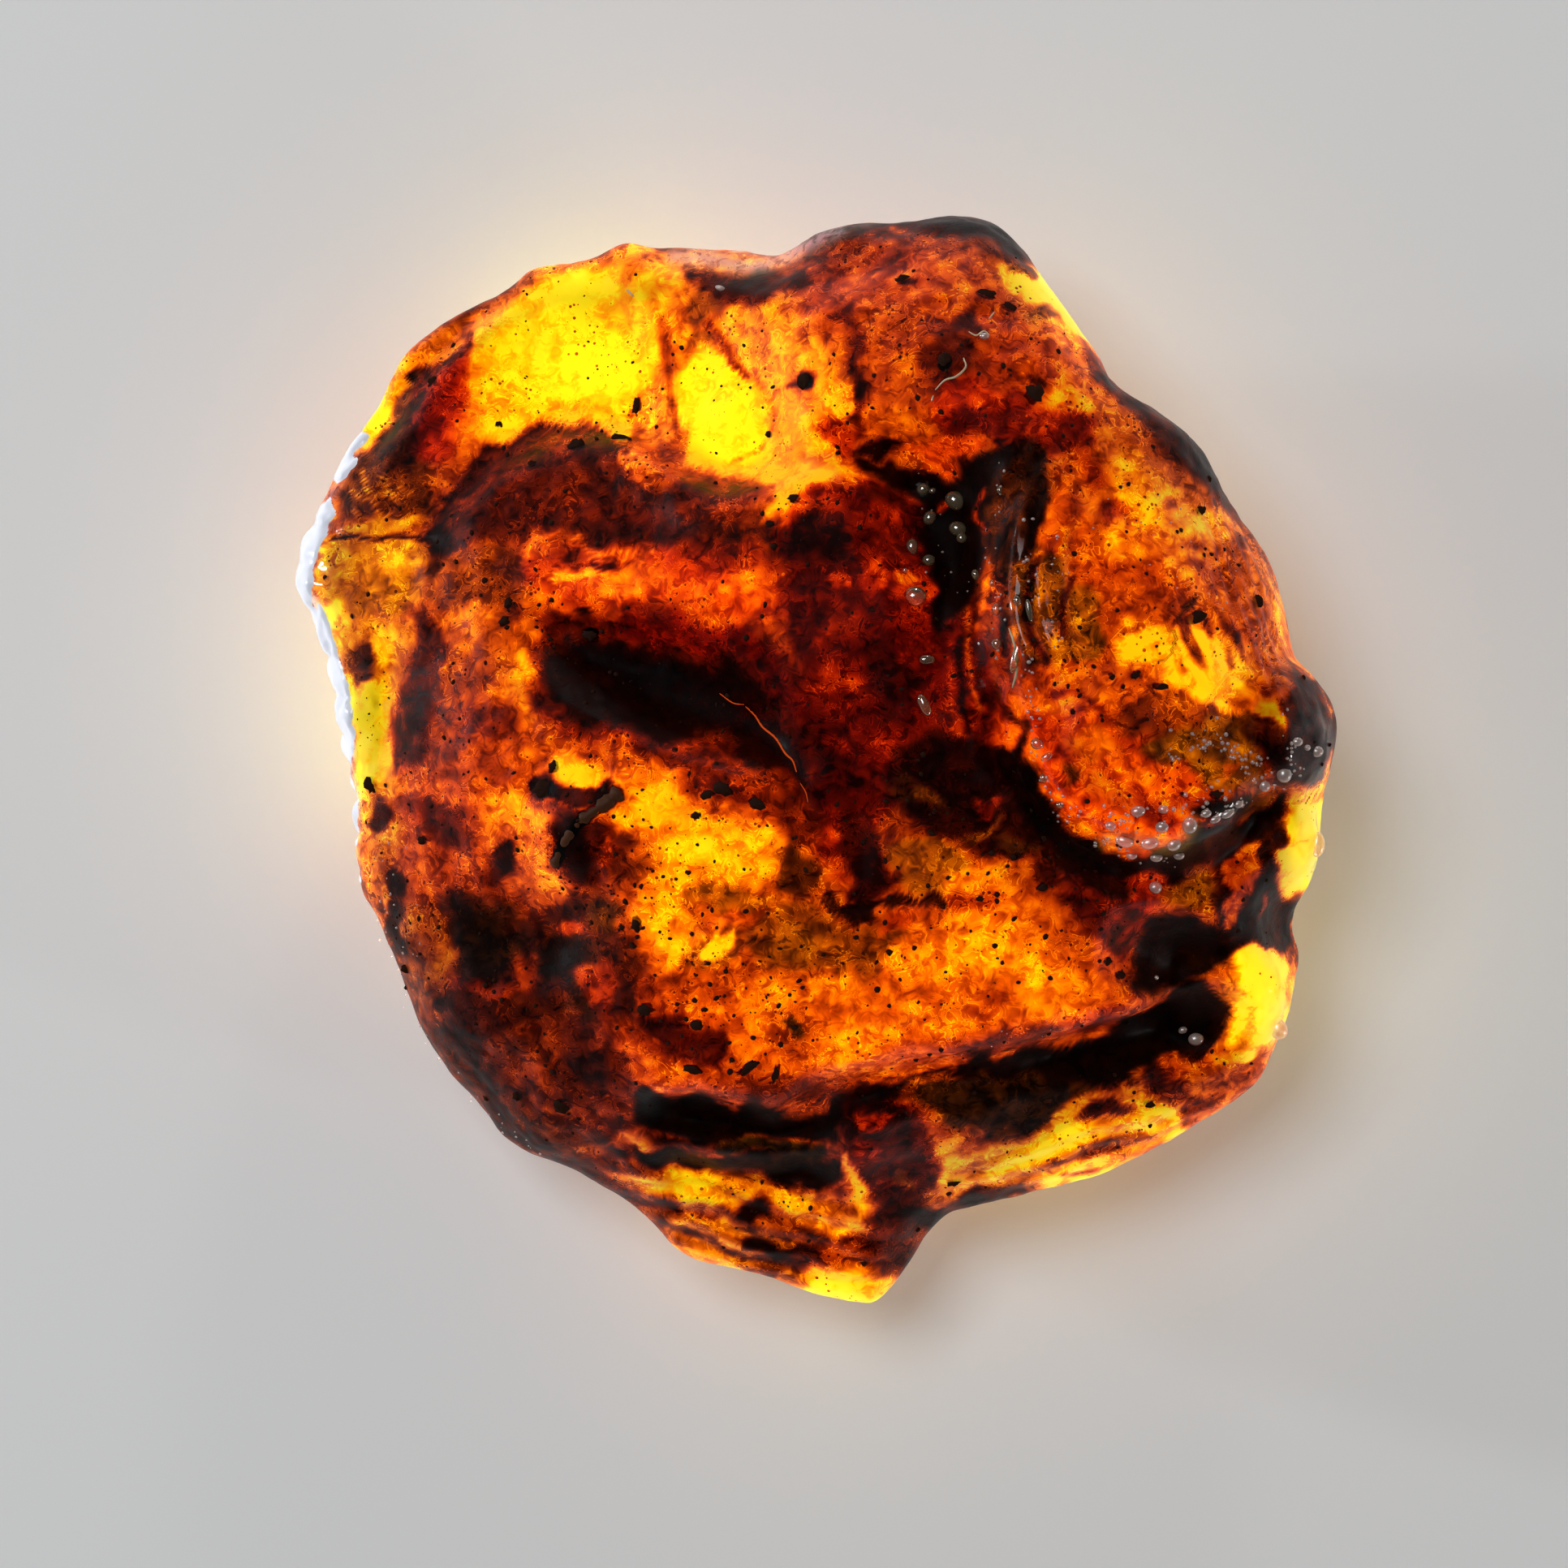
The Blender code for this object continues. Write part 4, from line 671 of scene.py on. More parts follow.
    patch(0.18, 0.4, 0.5, (3.2, -24.6), (5, -24), (7.8, -23.7), (9.4, -24.3), (7, -26.6), (5.4, -28),
          (4, -27.6), (3.2, -26.4)),
    blot(0.05, 0.1, 0.6, 6.2, -24.6, 1.3, 0.7, 10),
    patch(0.92, -0.1, 0.25, (1.4, -20.8), (1.9, -20.9), (2.4, -22.4), (2.7, -23.6), (2.8, -24.8),
          (2.2, -24.5), (1.9, -23.2), (1.4, -22.2)),
    streak(0.86, -0.1, 0.2, 0.13, (1.3, -25.6), (2.8, -25.5)),
    # The middle, with its debris.
    patch(0.55, 0.2, 0.8, (-22.4, -0.6), (-18, -1), (-14, -0.4), (-14, -6), (-17.4, -7.6), (-21, -8),
          (-22.8, -6)),
    blot(0.27, 0.35, 0.8, -20.4, -3, 1.6, 1),
    blot(0.6, 0.05, 0.8, -21.2, -5, 1.2, 1.6),
    patch(0.73, 0.1, 0.5, (-17.8, -2.2), (-15.4, -1.6), (-14.6, -3), (-14.4, -5), (-13.6, -6.2),
          (-13.9, -7.5), (-15.8, -7), (-16.6, -5.6), (-17.6, -4.6)),
    blot(0.84, 0, 0.6, -14.4, -6.4, 0.5, 1, 30),
    blot(0.12, 0.2, 0.5, -16.4, -5.4, 0.7, 0.7),
    blot(0.3, 0.3, 0.6, -17.2, -6, 0.7, 0.5),
    patch(0.8, 0.05, 0.55, (-14.2, -0.6), (-12, 0.2), (-9.6, 0.3), (-7.8, -0.8), (-6.6, -2.4), (-4.6, -3.5),
          (-1.8, -3.7), (-1.6, -5.6), (-4, -6.5), (-6.4, -6.4), (-7, -8), (-5.8, -8.8), (-7.2, -10.4),
          (-9, -11.6), (-9.9, -9), (-9.2, -6.6), (-9.7, -4.6), (-10.4, -3.4), (-9.6, -2), (-12, -1.4)),
    blot(0.95, -0.05, 0.8, -8.1, -2.3, 1.2, 1),
    blot(0.96, -0.05, 0.8, -6, -4.5, 1.8, 0.8),
    blot(0.86, 0, 0.8, -12.4, -0.5, 1.2, 0.5),
    blot(0.82, 0, 0.8, -7.6, -9, 1.1, 0.8),
    blot(0.8, 0.1, 0.7, -2.8, -4.6, 0.8, 0.6),
    blot(0.58, -0.3, 0.6, -4.4, -7.2, 2.4, 0.7),
    blot(0.66, 0.35, 0.6, -4.2, -8.4, 1.4, 0.4),
    blot(0.4, -0.3, 0.5, -5.3, -9.9, 1.7, 1.1, 24),
    patch(0.96, 0, 0.12, (-6.2, -10.1), (-5.6, -9.1), (-4.9, -8.6), (-4.1, -9.2), (-3.9, -9.8),
          (-4.6, -10.4), (-5.6, -10.5)),
    patch(0.3, 0.4, 0.6, (-7.8, 0.2), (-4, 0.2), (-1.4, -0.8), (0.4, -2.4), (0.2, -4.4), (-1.6, -3.9),
          (-3.6, -2.8), (-5.4, -1.9), (-7, -1.1)),
    blot(0.62, 0.2, 0.6, -3.4, -2.9, 1, 0.5),
    blot(0.24, -0.3, 0.7, -0.9, -5.8, 0.7, 1.6),
    patch(0.16, 0.3, 0.7, (-14.2, -2.6), (-12.8, -2.4), (-11.6, -3.6), (-10.2, -4.4), (-10.4, -6),
          (-12.4, -6.6), (-13.6, -6), (-14.1, -4.4)),
    blot(0.06, 0.1, 0.5, -12.9, -4.6, 0.8, 1.4, 10),
    blot(0.44, 0.5, 0.6, -10.9, -5.2, 0.7, 0.9),
    streak(0.08, 0.2, 0.25, 0.42, (-14.6, -0.9), (-13.9, -1.6), (-12.6, -2.2), (-11.2, -2.2),
           (-10.6, -1.8)),
    # The dark lower corner of the thin side.
    patch(0.22, -0.05, 1.1, (-20.2, -7.8), (-17.6, -7.4), (-15, -7.8), (-12.6, -6.8), (-11, -7.6),
          (-10.2, -9.2), (-9.5, -11.4), (-9.4, -13.6), (-10.6, -14.2), (-12, -12.6), (-13, -13.8),
          (-14.6, -14.6), (-17, -14.2), (-19.6, -12.6), (-20.3, -10)),
    blot(0.13, -0.7, 0.9, -17.8, -9.4, 1.9, 1.6),
    blot(0.09, -0.6, 0.9, -13.4, -10.6, 1.5, 1.2),
    blot(0.17, -0.5, 0.9, -12.6, -12.8, 0.9, 1.3),
    blot(0.26, -0.5, 0.7, -11.2, -8.4, 0.8, 0.8),
    blot(0.52, 0.3, 0.9, -15.7, -11.2, 0.8, 0.7),
    blot(0.44, 0.5, 0.6, -13.2, -8.9, 0.8, 0.5, 20),
    blot(0.42, 0.45, 0.8, -18, -11.9, 2.2, 0.5),
    blot(0.48, 0.4, 0.7, -11.6, -12.2, 0.8, 1.4, 10),
    patch(0.33, 0.05, 0.8, (-20.6, -12.8), (-17, -14.2), (-13, -13.9), (-10.4, -14.6), (-9.8, -17.8),
          (-9.9, -19.8), (-12, -21.2), (-16, -20.4), (-19.4, -17.6), (-22, -14.2)),
    blot(0.22, 0.1, 0.8, -18, -13.6, 1.8, 0.9, -20),
    blot(0.48, 0.1, 0.8, -15.6, -17.4, 1.6, 1, -20),
    blot(0.22, 0, 0.8, -12.4, -16.8, 1.2, 1.4),
    blot(0.46, 0.1, 0.8, -13.6, -18.8, 1.6, 0.5, -10),
    blot(0.62, 0.2, 0.7, -10.2, -15, 0.7, 1.2, 20),
    patch(0.62, 0.2, 0.55, (-9.4, -12.2), (-6.4, -11.6), (-4.8, -12), (-4.4, -13.6), (-6, -13.9),
          (-8.8, -13.8)),
    patch(0.24, 0.35, 0.5, (-9.2, -14), (-6.4, -13.9), (-4.6, -14.6), (-4.4, -16), (-6.6, -15.9),
          (-8.4, -15.6)),
    patch(0.7, 0.15, 0.4, (-10.4, -16.6), (-8.4, -16.3), (-6, -16), (-4.4, -16.5), (-4.4, -17.6),
          (-6.8, -17.7), (-9.8, -17.6)),
    patch(0.6, -0.05, 0.6, (-22.4, -8.2), (-20.6, -8), (-19.9, -10.4), (-20.2, -13), (-21.6, -13.8),
          (-22.8, -12)),
    blot(0.86, -0.3, 0.6, -20.9, -11, 0.6, 0.9, -20),
    blot(0.62, 0.2, 0.7, -21.2, -14.4, 0.8, 0.8),
    patch(0.56, 0, 0.6, (-25.8, -2), (-22.8, -1.6), (-22, -5), (-22.2, -8.4), (-24, -8.6), (-25.6, -6)),
    blot(0.16, 0.2, 0.6, -23.9, -2.5, 0.8, 0.8),
    blot(0.14, 0.1, 0.5, -23.2, -6.7, 0.7, 1),
    blot(0.7, -0.2, 0.6, -22.9, -4, 0.7, 0.8),
    blot(0.18, 0.2, 0.6, -23.2, -9, 0.6, 1.2),
    # The sharp lower rim.
    streak(0.36, 0.1, 0.5, 0.7, (-21.6, -15.6), (-19.4, -18.6), (-16.6, -21), (-13, -22.6)),
    streak(0.2, 0.3, 0.4, 0.4, (-19.6, -15.4), (-17.8, -18), (-15, -20.6)),
    patch(0.27, 0.3, 0.5, (-12.6, -21.4), (-9.6, -21.8), (-9.4, -22.4), (-11.4, -22.8), (-10, -24.4),
          (-13.2, -23.2)),
]

# Where the skin is frosted, and painted highlights in the same pale colour: amount, half width, softness and
# line.
FROST_AND_GLINTS = [
    # The thin side's rim: frost with painted glare.
    (1, 0.75, 0.3, [(-27.2, 13.8), (-28, 11.8), (-28.3, 9.6), (-27.3, 7.6), (-26.8, 5.6),
                      (-26.2, 3.4), (-25.9, 0.6)]),
    (0.75, 0.4, 0.3, [(-25.8, 0.2), (-25.4, -2.6), (-25.6, -4.8), (-25.4, -6.4)]),
    (0.14, 0.3, 0.3, [(-25.3, -6.6), (-24.2, -9.4), (-23.1, -12.4), (-22, -15)]),
    (0.45, 0.4, 0.4, [(-27.2, 14), (-26.2, 15.8), (-25, 18)]),
    # The notch: a painted reflection.
    (0.75, 0.5, 0.5, [(-7.6, 27.9), (-5.6, 27.7), (-3.6, 27.2), (-1.8, 27.6), (-0.2, 28.4),
                      (1.4, 29.1)]),
    (0.35, 0.3, 0.4, [(1.4, 29.2), (3, 29.4)]),
    (0.22, 0.4, 0.4, [(15.6, -4.1), (17.4, -4.2), (19.2, -4.3), (19.9, -3.3)]),
    # A painted highlight on the toe.
    (0.9, 0.3, 0.4, [(25.3, -14.3), (25.2, -14.9)]),
    # A painted highlight on the edge pad.
    (0.5, 0.25, 0.4, [(27.4, -4.2), (27.4, -5.4)]),
]


# --- Curves and fields ------------------------------------------------------------------------

def smooth_line(points, closed=False, steps=6):
    """A Catmull-Rom curve through points, steps short straights to each of their gaps."""
    p = np.array(points, float)
    if closed:
        p = np.vstack([p[-1], p, p[0], p[1]])
    else:
        p = np.vstack([2 * p[0] - p[1], p, 2 * p[-1] - p[-2]])
    t = np.linspace(0, 1, steps, endpoint=False)[None, :, None]
    a, b, c, d = (p[i:len(p) - 3 + i, None] for i in range(4))
    curve = 0.5 * (2 * b + (c - a) * t + (2 * a - 5 * b + 4 * c - d) * t**2
                   + (3 * b - a - 3 * c + d) * t**3)
    curve = curve.reshape(-1, 2)
    return np.vstack([curve, curve[0] if closed else p[-2]])


def smooth_share(low, high, x):
    """0 below low, 1 above high, and an even S, t²(3 - 2t), between them."""
    t = np.clip((x - low) / (high - low), 0, 1)
    return t * t * (3 - 2 * t)


def oval_reach(xy, centre, radii, turn):
    """How far out each point is in an oval: 0 at its centre, 1 on its edge."""
    angle = math.radians(turn)
    u, v = (xy - np.array(centre)).T
    along = (u * math.cos(angle) + v * math.sin(angle)) / radii[0]
    across = (v * math.cos(angle) - u * math.sin(angle)) / radii[1]
    return np.hypot(along, across)


def oval_share(xy, oval, fade):
    """1 in an oval (x, y, its two radii, turn), and an S down to 0 between two reaches, fade."""
    x, y, across, along, turn = oval
    return 1 - smooth_share(*fade, oval_reach(xy, (x, y), (across, along), turn))


def beside_curve(xy, curve):
    """Each point's distance to a curve of straights, plus on its left, and how far along it is."""
    start, way = curve[:-1], np.diff(curve, axis=0)
    length = np.hypot(*way.T)
    run = np.concatenate([[0], np.cumsum(length)])
    beside, along = np.empty(len(xy)), np.empty(len(xy))
    for low in range(0, len(xy), CHUNK):
        part = slice(low, low + CHUNK)
        offset = xy[part, None, :] - start
        share = np.clip((offset * way).sum(2) / length**2, 0, 1)
        gap = offset - share[:, :, None] * way
        gap = np.hypot(gap[:, :, 0], gap[:, :, 1])
        near = gap.argmin(1)
        row = np.arange(len(near))
        to = offset[row, near]
        left = way[near, 0] * to[:, 1] - way[near, 1] * to[:, 0] >= 0
        beside[part] = gap[row, near] * np.where(left, 1, -1)
        along[part] = run[near] + share[row, near] * length[near]
    return beside, along


def inside_curve(xy, curve):
    """Whether each point is inside a closed curve: a ray to its right crosses it an odd number of times."""
    (ax, ay), (bx, by) = curve[:-1].T[:, None, :], curve[1:].T[:, None, :]
    px, py = xy[:, :1], xy[:, 1:]
    crossed = (ay > py) != (by > py)
    rise = np.where(by == ay, 1, by - ay)
    return (crossed & (px < ax + (py - ay) * (bx - ax) / rise)).sum(1) % 2 == 1


def lattice_value(cell, seed):
    """A fixed number from 0 to 1 for each lattice point, with no pattern to the eye."""
    mixed = np.sin(cell @ np.array([127.1, 311.7, 74.7]) + 19.19 * seed) * 43758.5453
    return mixed - np.floor(mixed)


def flat_field(xy, size, seed):
    """Value noise over the plan."""
    return lump_field(np.column_stack([xy, np.zeros(len(xy))]), size, seed)


def lump_field(points, size, seed):
    """Value noise from -1 to 1, whose lumps are about size across."""
    p = points / size
    cell = np.floor(p)
    f = p - cell
    f = f * f * (3 - 2 * f)
    total = np.zeros(len(p))
    for corner in np.ndindex(2, 2, 2):
        weight = np.prod(np.where(np.array(corner) == 1, f, 1 - f), axis=1)
        total += weight * lattice_value(cell + corner, seed)
    return 2 * total - 1


def cloud_share(xy, kind, soft, shape, extra):
    """How much of a cloud is at each point: 1 well inside it, 0 well outside, an S across its edge."""
    if kind == "blot":
        return oval_share(xy, (*shape, extra), (1 - soft, 1 + soft))
    curve = smooth_line(shape, closed=kind == "patch", steps=4)
    margin = extra + 2 * soft
    near = ((xy > curve.min(0) - margin) & (xy < curve.max(0) + margin)).all(1)
    share = np.zeros(len(xy))
    if near.any():
        beside = np.abs(beside_curve(xy[near], curve)[0])
        if kind == "patch":
            inward = np.where(inside_curve(xy[near], curve), beside, -beside)
        else:
            inward = extra - beside
        share[near] = smooth_share(-soft, soft, inward)
    return share


def wandered(xy):
    """Moves each point a little by value noise, so that a cloud's edge wanders."""
    moved = xy.copy()
    for octave, (size, far) in enumerate(EDGE_WANDER):
        for axis, seed in enumerate(WANDER_SEEDS):
            moved[:, axis] += far * flat_field(xy, size, seed + octave)
    return moved


def cloud_fields(xy):
    """glow, hue, frost with painted highlights, and nearness to the rim at each point, from the clouds laid
    over each other; the rim is painted clearer.
    """
    moved = wandered(xy)
    glow = np.full(len(xy), PLAIN_GLOW)
    hue = np.full(len(xy), PLAIN_HUE)
    for kind, cloud_glow, cloud_hue, soft, shape, extra in CLOUDS:
        thin = kind == "streak" and extra < THIN_STREAK
        places = xy + (moved - xy) * THIN_WANDER if thin else moved
        share = cloud_share(places, kind, EDGE_SHARP * soft, shape, extra)
        glow += (cloud_glow - glow) * share
        hue += (cloud_hue - hue) * share
    for darker, x, y, across, along, turn in SHADES:
        glow *= 1 - darker * np.exp(-oval_reach(xy, (x, y), (across, along), turn) ** 2)
    hue += HUE_SHIFT + HUE_STAIN * flat_field(xy, STAIN_SIZE, STAIN_SEED)
    # The thin rim is painted clearer and less olive, as light coming through it.
    inward = np.abs(beside_curve(xy, smooth_line(OUTLINE, closed=True))[0])
    near_rim = 1 - smooth_share(0, RIM_PAINTED_LIGHT_WIDTH, inward)
    for amount, *oval in LIT_RIMS:
        near_rim = np.maximum(near_rim, amount * oval_share(xy, oval, LIT_FADE))
    glow = np.minimum(glow * (1 + RIM_PAINTED_LIGHT * near_rim), 1)
    hue += near_rim * np.maximum(-hue, 0) * RIM_PAINTED_LESS_OLIVE
    frost_and_glint = np.zeros(len(xy))
    for amount, width, soft, line in FROST_AND_GLINTS:
        frost_and_glint = np.maximum(frost_and_glint, amount * cloud_share(xy, "streak", soft, line, width))
    return glow, hue, frost_and_glint, near_rim


def feather_fields(xy):
    """How strongly the resin is feathered at each point, and the way of its strokes in radians."""
    feather = np.full(len(xy), PLAIN_FEATHER)
    way = np.full(len(xy), math.radians(-PLAIN_WAY))
    for amount, degrees, *oval in FEATHERS:
        share = oval_share(xy, oval, FEATHER_FADE)
        feather = np.maximum(feather, amount * share)
        x, y, across, along, turn = oval
        way[oval_reach(xy, (x, y), (across, along), turn) < 1] = math.radians(-degrees)
    return feather, way


def shine(xy):
    """How much the skin shines at each point."""
    return np.max([oval_share(xy, oval, SHINE_FADE) for oval in SHINY], axis=0)


# --- The lump ---------------------------------------------------------------------------------

def outline_radius(angle, level):
    """The outline's distance from the centre in each direction. Its corners are sharp at the rim,
    where level is 1, and melt into a plain round, a running mean, as level to CORNER_POWER falls."""
    curve = smooth_line(OUTLINE, closed=True)[:-1]
    turn = np.arctan2(curve[:, 1], curve[:, 0])
    order = turn.argsort()

    def at(direction):
        return np.interp(direction, turn[order], np.hypot(*curve[order].T), period=2 * math.pi)

    offs = np.linspace(-CORNER_SPREAD, CORNER_SPREAD, CORNER_SAMPLES)
    plain = np.mean([at(angle + off) for off in offs], axis=0)
    reach = plain + (at(angle) - plain) * level**CORNER_POWER
    ripple = np.abs(np.sin((angle - SCALLOP_FROM) * math.pi / SCALLOP_SPACING))
    around = angle % (2 * math.pi)
    on_side = smooth_share(SCALLOP_FROM, SCALLOP_FROM + SCALLOP_FADE, around)
    on_side *= 1 - smooth_share(SCALLOP_TO - SCALLOP_FADE, SCALLOP_TO, around)
    return reach - SCALLOP_DEPTH * on_side * (1 - ripple) * level**SCALLOP_POWER


def edge_height(xy, line, step, lip, groove, spread, builds_over):
    """A resin layer's edge: a step up on its left that dies away, a Gaussian roll along its top and
    a Gaussian furrow at its foot. It builds up from its first end and fades soon before its last."""
    curve = smooth_line(line)
    beside, run = beside_curve(xy, curve)
    whole = np.hypot(*np.diff(curve, axis=0).T).sum()
    strength = smooth_share(0, builds_over, run) * smooth_share(0, END_FADE, whole - run)
    high_side = smooth_share(-STEP_HALF * spread, STEP_HALF * spread, beside)
    fade = np.exp(-np.maximum(beside, 0) / (HIGH_FADE * spread))
    fade = fade * np.exp(-np.maximum(-beside, 0) / (LOW_FADE * spread))
    rise = step * (high_side - 0.5) * fade
    roll = lip * np.exp(-((beside - ROLL_AWAY * spread) / (ROLL_WIDTH * spread)) ** 2)
    furrow = groove * np.exp(-((beside + ROLL_AWAY * spread) / (ROLL_WIDTH * spread)) ** 2)
    return (rise + roll - furrow) * strength


def fold_height(xy, spacing, high):
    """Rounded folds side by side, sin² across them, which bend towards the lobe's lip as v²."""
    centre, radii, turn = FOLDS_AROUND
    u, v = (xy - np.array(centre)).T
    wave = np.sin((u - FOLD_BEND * v * v) * math.pi / spacing) ** 2
    return high * wave * oval_share(xy, (*centre, *radii, turn), FOLD_EDGE)


def relief_height(xy):
    """What is added to the plain crown: Gaussian swells, flat-topped super-Gaussian forms, layer
    edges and folds."""
    height = fold_height(xy, FOLD_SPACING, FOLD_HEIGHT)
    for centre, radii, turn, rise in SWELLS.values():
        height += rise * np.exp(-oval_reach(xy, centre, radii, turn) ** 2)
    for centre, radii, turn, rise, sharpness in FORMS.values():
        height += rise * np.exp(-oval_reach(xy, centre, radii, turn) ** (2 * sharpness))
    for edge in EDGES.values():
        height += edge_height(xy, **edge)
    return height


def fine_height(xy):
    """Relief too fine for the solid: pleats on the folds, ridges where thin layers end, round pits
    and hair cracks. The ridges are a sine across their way, bent by value noise."""
    height = fold_height(xy, CURTAIN_SPACING, CURTAIN_HEIGHT)
    bend = LAYER_BEND * flat_field(xy, LAYER_BEND_SIZE, LAYERS_SEED)
    for centre, radii, turn, across, spacing, high in LAYERS:
        way = math.radians(across)
        run = xy @ np.array([math.cos(way), math.sin(way)]) + bend
        inside = oval_share(xy, (*centre, *radii, turn), LAYER_EDGE_FADE)
        height += high * inside * np.sin(2 * math.pi * run / spacing)
    dice = np.random.default_rng(PITS_SEED)
    for _ in range(PITS):
        angle, far = dice.uniform(0, 2 * math.pi), math.sqrt(dice.uniform(0, PITS_MIDDLE))
        reach = PITS_WITHIN * WIDTH * far, PITS_WITHIN * LENGTH * far
        centre = (reach[0] * math.cos(angle), reach[1] * math.sin(angle))
        radius, depth = dice.uniform(*PIT_RADII), dice.uniform(*PIT_DEPTHS)
        near = (np.abs(xy - centre) < 2 * radius).all(1)
        height[near] -= depth * np.exp(-oval_reach(xy[near], centre, (radius, radius), 0) ** 4)
    for depth, width, line in CRACKS:
        height -= depth * cloud_share(xy, "streak", width, line, width)
    return height


def stone_points(way):
    """Moves directions from the lump's middle (n, 3) to points of its surface: the outline's reach
    times level to PLAN_POWER, and the rim's height plus the crown's or minus the belly's share."""
    angle = np.arctan2(way[:, 1], way[:, 0])
    level = np.hypot(way[:, 0], way[:, 1])
    upper = way[:, 2] > 0
    reach = outline_radius(angle, level) * level**PLAN_POWER
    xy = np.column_stack([reach * np.cos(angle), reach * np.sin(angle)])
    rim = RIM_HEIGHT + RIM_TILT * np.cos(angle - RIM_TILT_TOWARDS) * level
    crown = CROWN_HEIGHT * np.abs(way[:, 2]) ** CROWN_POWER
    belly = (RIM_HEIGHT + BELLY_BELOW_FLOOR) * np.abs(way[:, 2]) ** BELLY_POWER
    z = rim + np.where(upper, crown, -belly)

    on_crown = smooth_share(-CROWN_BLEND, CROWN_BLEND, way[:, 2])
    z += (relief_height(xy) + fine_height(xy)) * on_crown
    points = np.column_stack([xy, z])
    for octave, ((size, height), (belly_size, belly_height)) in enumerate(zip(LUMPS, BELLY_LUMPS)):
        above = height * lump_field(points, size, LUMPS_SEED + octave)
        below = belly_height * lump_field(points, belly_size, BELLY_SEED + octave)
        points += way * (above * on_crown + below * (1 - on_crown))[:, None]
    wrinkled = BELLY_WRINKLES + (1 - BELLY_WRINKLES) * on_crown
    for octave, (size, height) in enumerate(WRINKLES):
        points += way * (height * lump_field(points, size, WRINKLES_SEED + octave) * wrinkled)[:, None]
    return points


def crown_ways(cells):
    """Directions over the crown. A square of even cells is laid on a disc, each square ring of it
    to a circle, and the disc on a half ball, radius r to an angle from the top that grows as
    EVEN_SHARE r plus the rest r³, so that the middle has finer cells than the rim."""
    side = np.linspace(-1, 1, cells + 1)
    a, b = (m.ravel() for m in np.meshgrid(side, side, indexing="ij"))
    wide = np.abs(a) >= np.abs(b)
    r = np.where(wide, a, b)
    safe = np.where(r == 0, 1, r)
    turn = np.where(wide, math.pi / 4 * b / safe, math.pi / 2 - math.pi / 4 * a / safe)
    tilt = (EVEN_SHARE * np.abs(r) + (1 - EVEN_SHARE) * np.abs(r) ** 3) * math.pi / 2
    sign = np.where(r < 0, -1, 1)
    level = np.sin(tilt) * sign
    return np.column_stack([level * np.cos(turn), level * np.sin(turn), np.cos(tilt)])


def lump_grid():
    """Directions and faces of the whole lump: the crown's sheet, then the belly's rings from the
    sheet's edge down to one middle point."""
    crown = crown_ways(CROWN_CELLS)
    index = np.arange(len(crown)).reshape(CROWN_CELLS + 1, -1)
    edge = border(index)
    tilt = math.pi / 2 * (1 + np.arange(1, BELLY_RINGS) / BELLY_RINGS)
    around = crown[edge, :2]
    rings = [np.column_stack([around * math.sin(t), np.full(len(edge), math.cos(t))]) for t in tilt]
    ring = len(crown) + np.arange((BELLY_RINGS - 1) * len(edge)).reshape(BELLY_RINGS - 1, -1)
    ring = np.vstack([edge, ring])
    middle = ring[-1, -1] + 1
    fan = np.column_stack([ring[-1], np.full(len(edge), middle), np.roll(ring[-1], -1)])
    ways = np.vstack([crown, *rings, [[0, 0, -1]]])
    return ways, sheet_quads(index) + ring_quads(ring) + fan.tolist()


def seated(points):
    """Fits the outline to the solid's box and flattens what the belly has below the floor."""
    low, high = (np.array(corner)[:2] / MM for corner in CAD_BOX)
    least, most = points[:, :2].min(0), points[:, :2].max(0)
    points[:, :2] = low + (points[:, :2] - least) * ((high - low) / (most - least))
    points[:, 2] = np.maximum(points[:, 2], 0)
    return points


# --- Meshes -----------------------------------------------------------------------------------

def sheet_quads(index):
    """The faces between the rows and columns of a grid of points, given by their numbers."""
    corners = index[:-1, :-1], index[1:, :-1], index[1:, 1:], index[:-1, 1:]
    return np.stack(corners, -1).reshape(-1, 4).tolist()


def ring_quads(index):
    """The faces between rings of points, one ring to a row."""
    nxt = np.roll(index, -1, axis=1)
    return np.stack([index[:-1], index[1:], nxt[1:], nxt[:-1]], -1).reshape(-1, 4).tolist()


def border(index):
    """The numbers of a grid's points once round its edge."""
    return np.concatenate([index[:-1, 0], index[-1, :-1], index[:0:-1, -1], index[0, :0:-1]])


def grid_normals(grid):
    """The unit normals of a grid of points."""
    normal = np.cross(np.gradient(grid, axis=0), np.gradient(grid, axis=1))
    return normal / np.linalg.norm(normal, axis=2, keepdims=True)


def piece_from(name, points, faces, material, values=None):
    """A smooth-shaded mesh object from points in millimetres, with its values stored per point."""
    mesh = bpy.data.meshes.new(name)
    mesh.from_pydata((np.asarray(points) * MM).tolist(), [], faces)
    mesh.shade_smooth()
    for label, value in (values or {}).items():
        mesh.attributes.new(label, "FLOAT", "POINT").data.foreach_set("value", value.astype(np.float32))
    mesh.materials.append(material)
    piece = bpy.data.objects.new(name, mesh)
    bpy.context.scene.collection.objects.link(piece)
    return piece


def unit_ball(around, rows):
    """A closed ball of rows of quads between two poles: sine and cosine of its two angles."""
    turn = np.arange(around) * 2 * math.pi / around
    tilt = np.arange(1, rows) * math.pi / rows
    t, u = np.meshgrid(tilt, turn, indexing="ij")
    body = np.column_stack([(np.sin(t) * np.cos(u)).ravel(), (np.sin(t) * np.sin(u)).ravel(),
                            np.cos(t).ravel()])
    index = np.arange(len(body)).reshape(rows - 1, around)
    nxt = np.roll(index, -1, axis=1)
    top, low = len(body), len(body) + 1
    caps = [[top, a, b] for a, b in zip(index[0], nxt[0])]
    caps += [[low, b, a] for a, b in zip(index[-1], nxt[-1])]
    return np.vstack([body, [[0, 0, 1], [0, 0, -1]]]), ring_quads(index) + caps


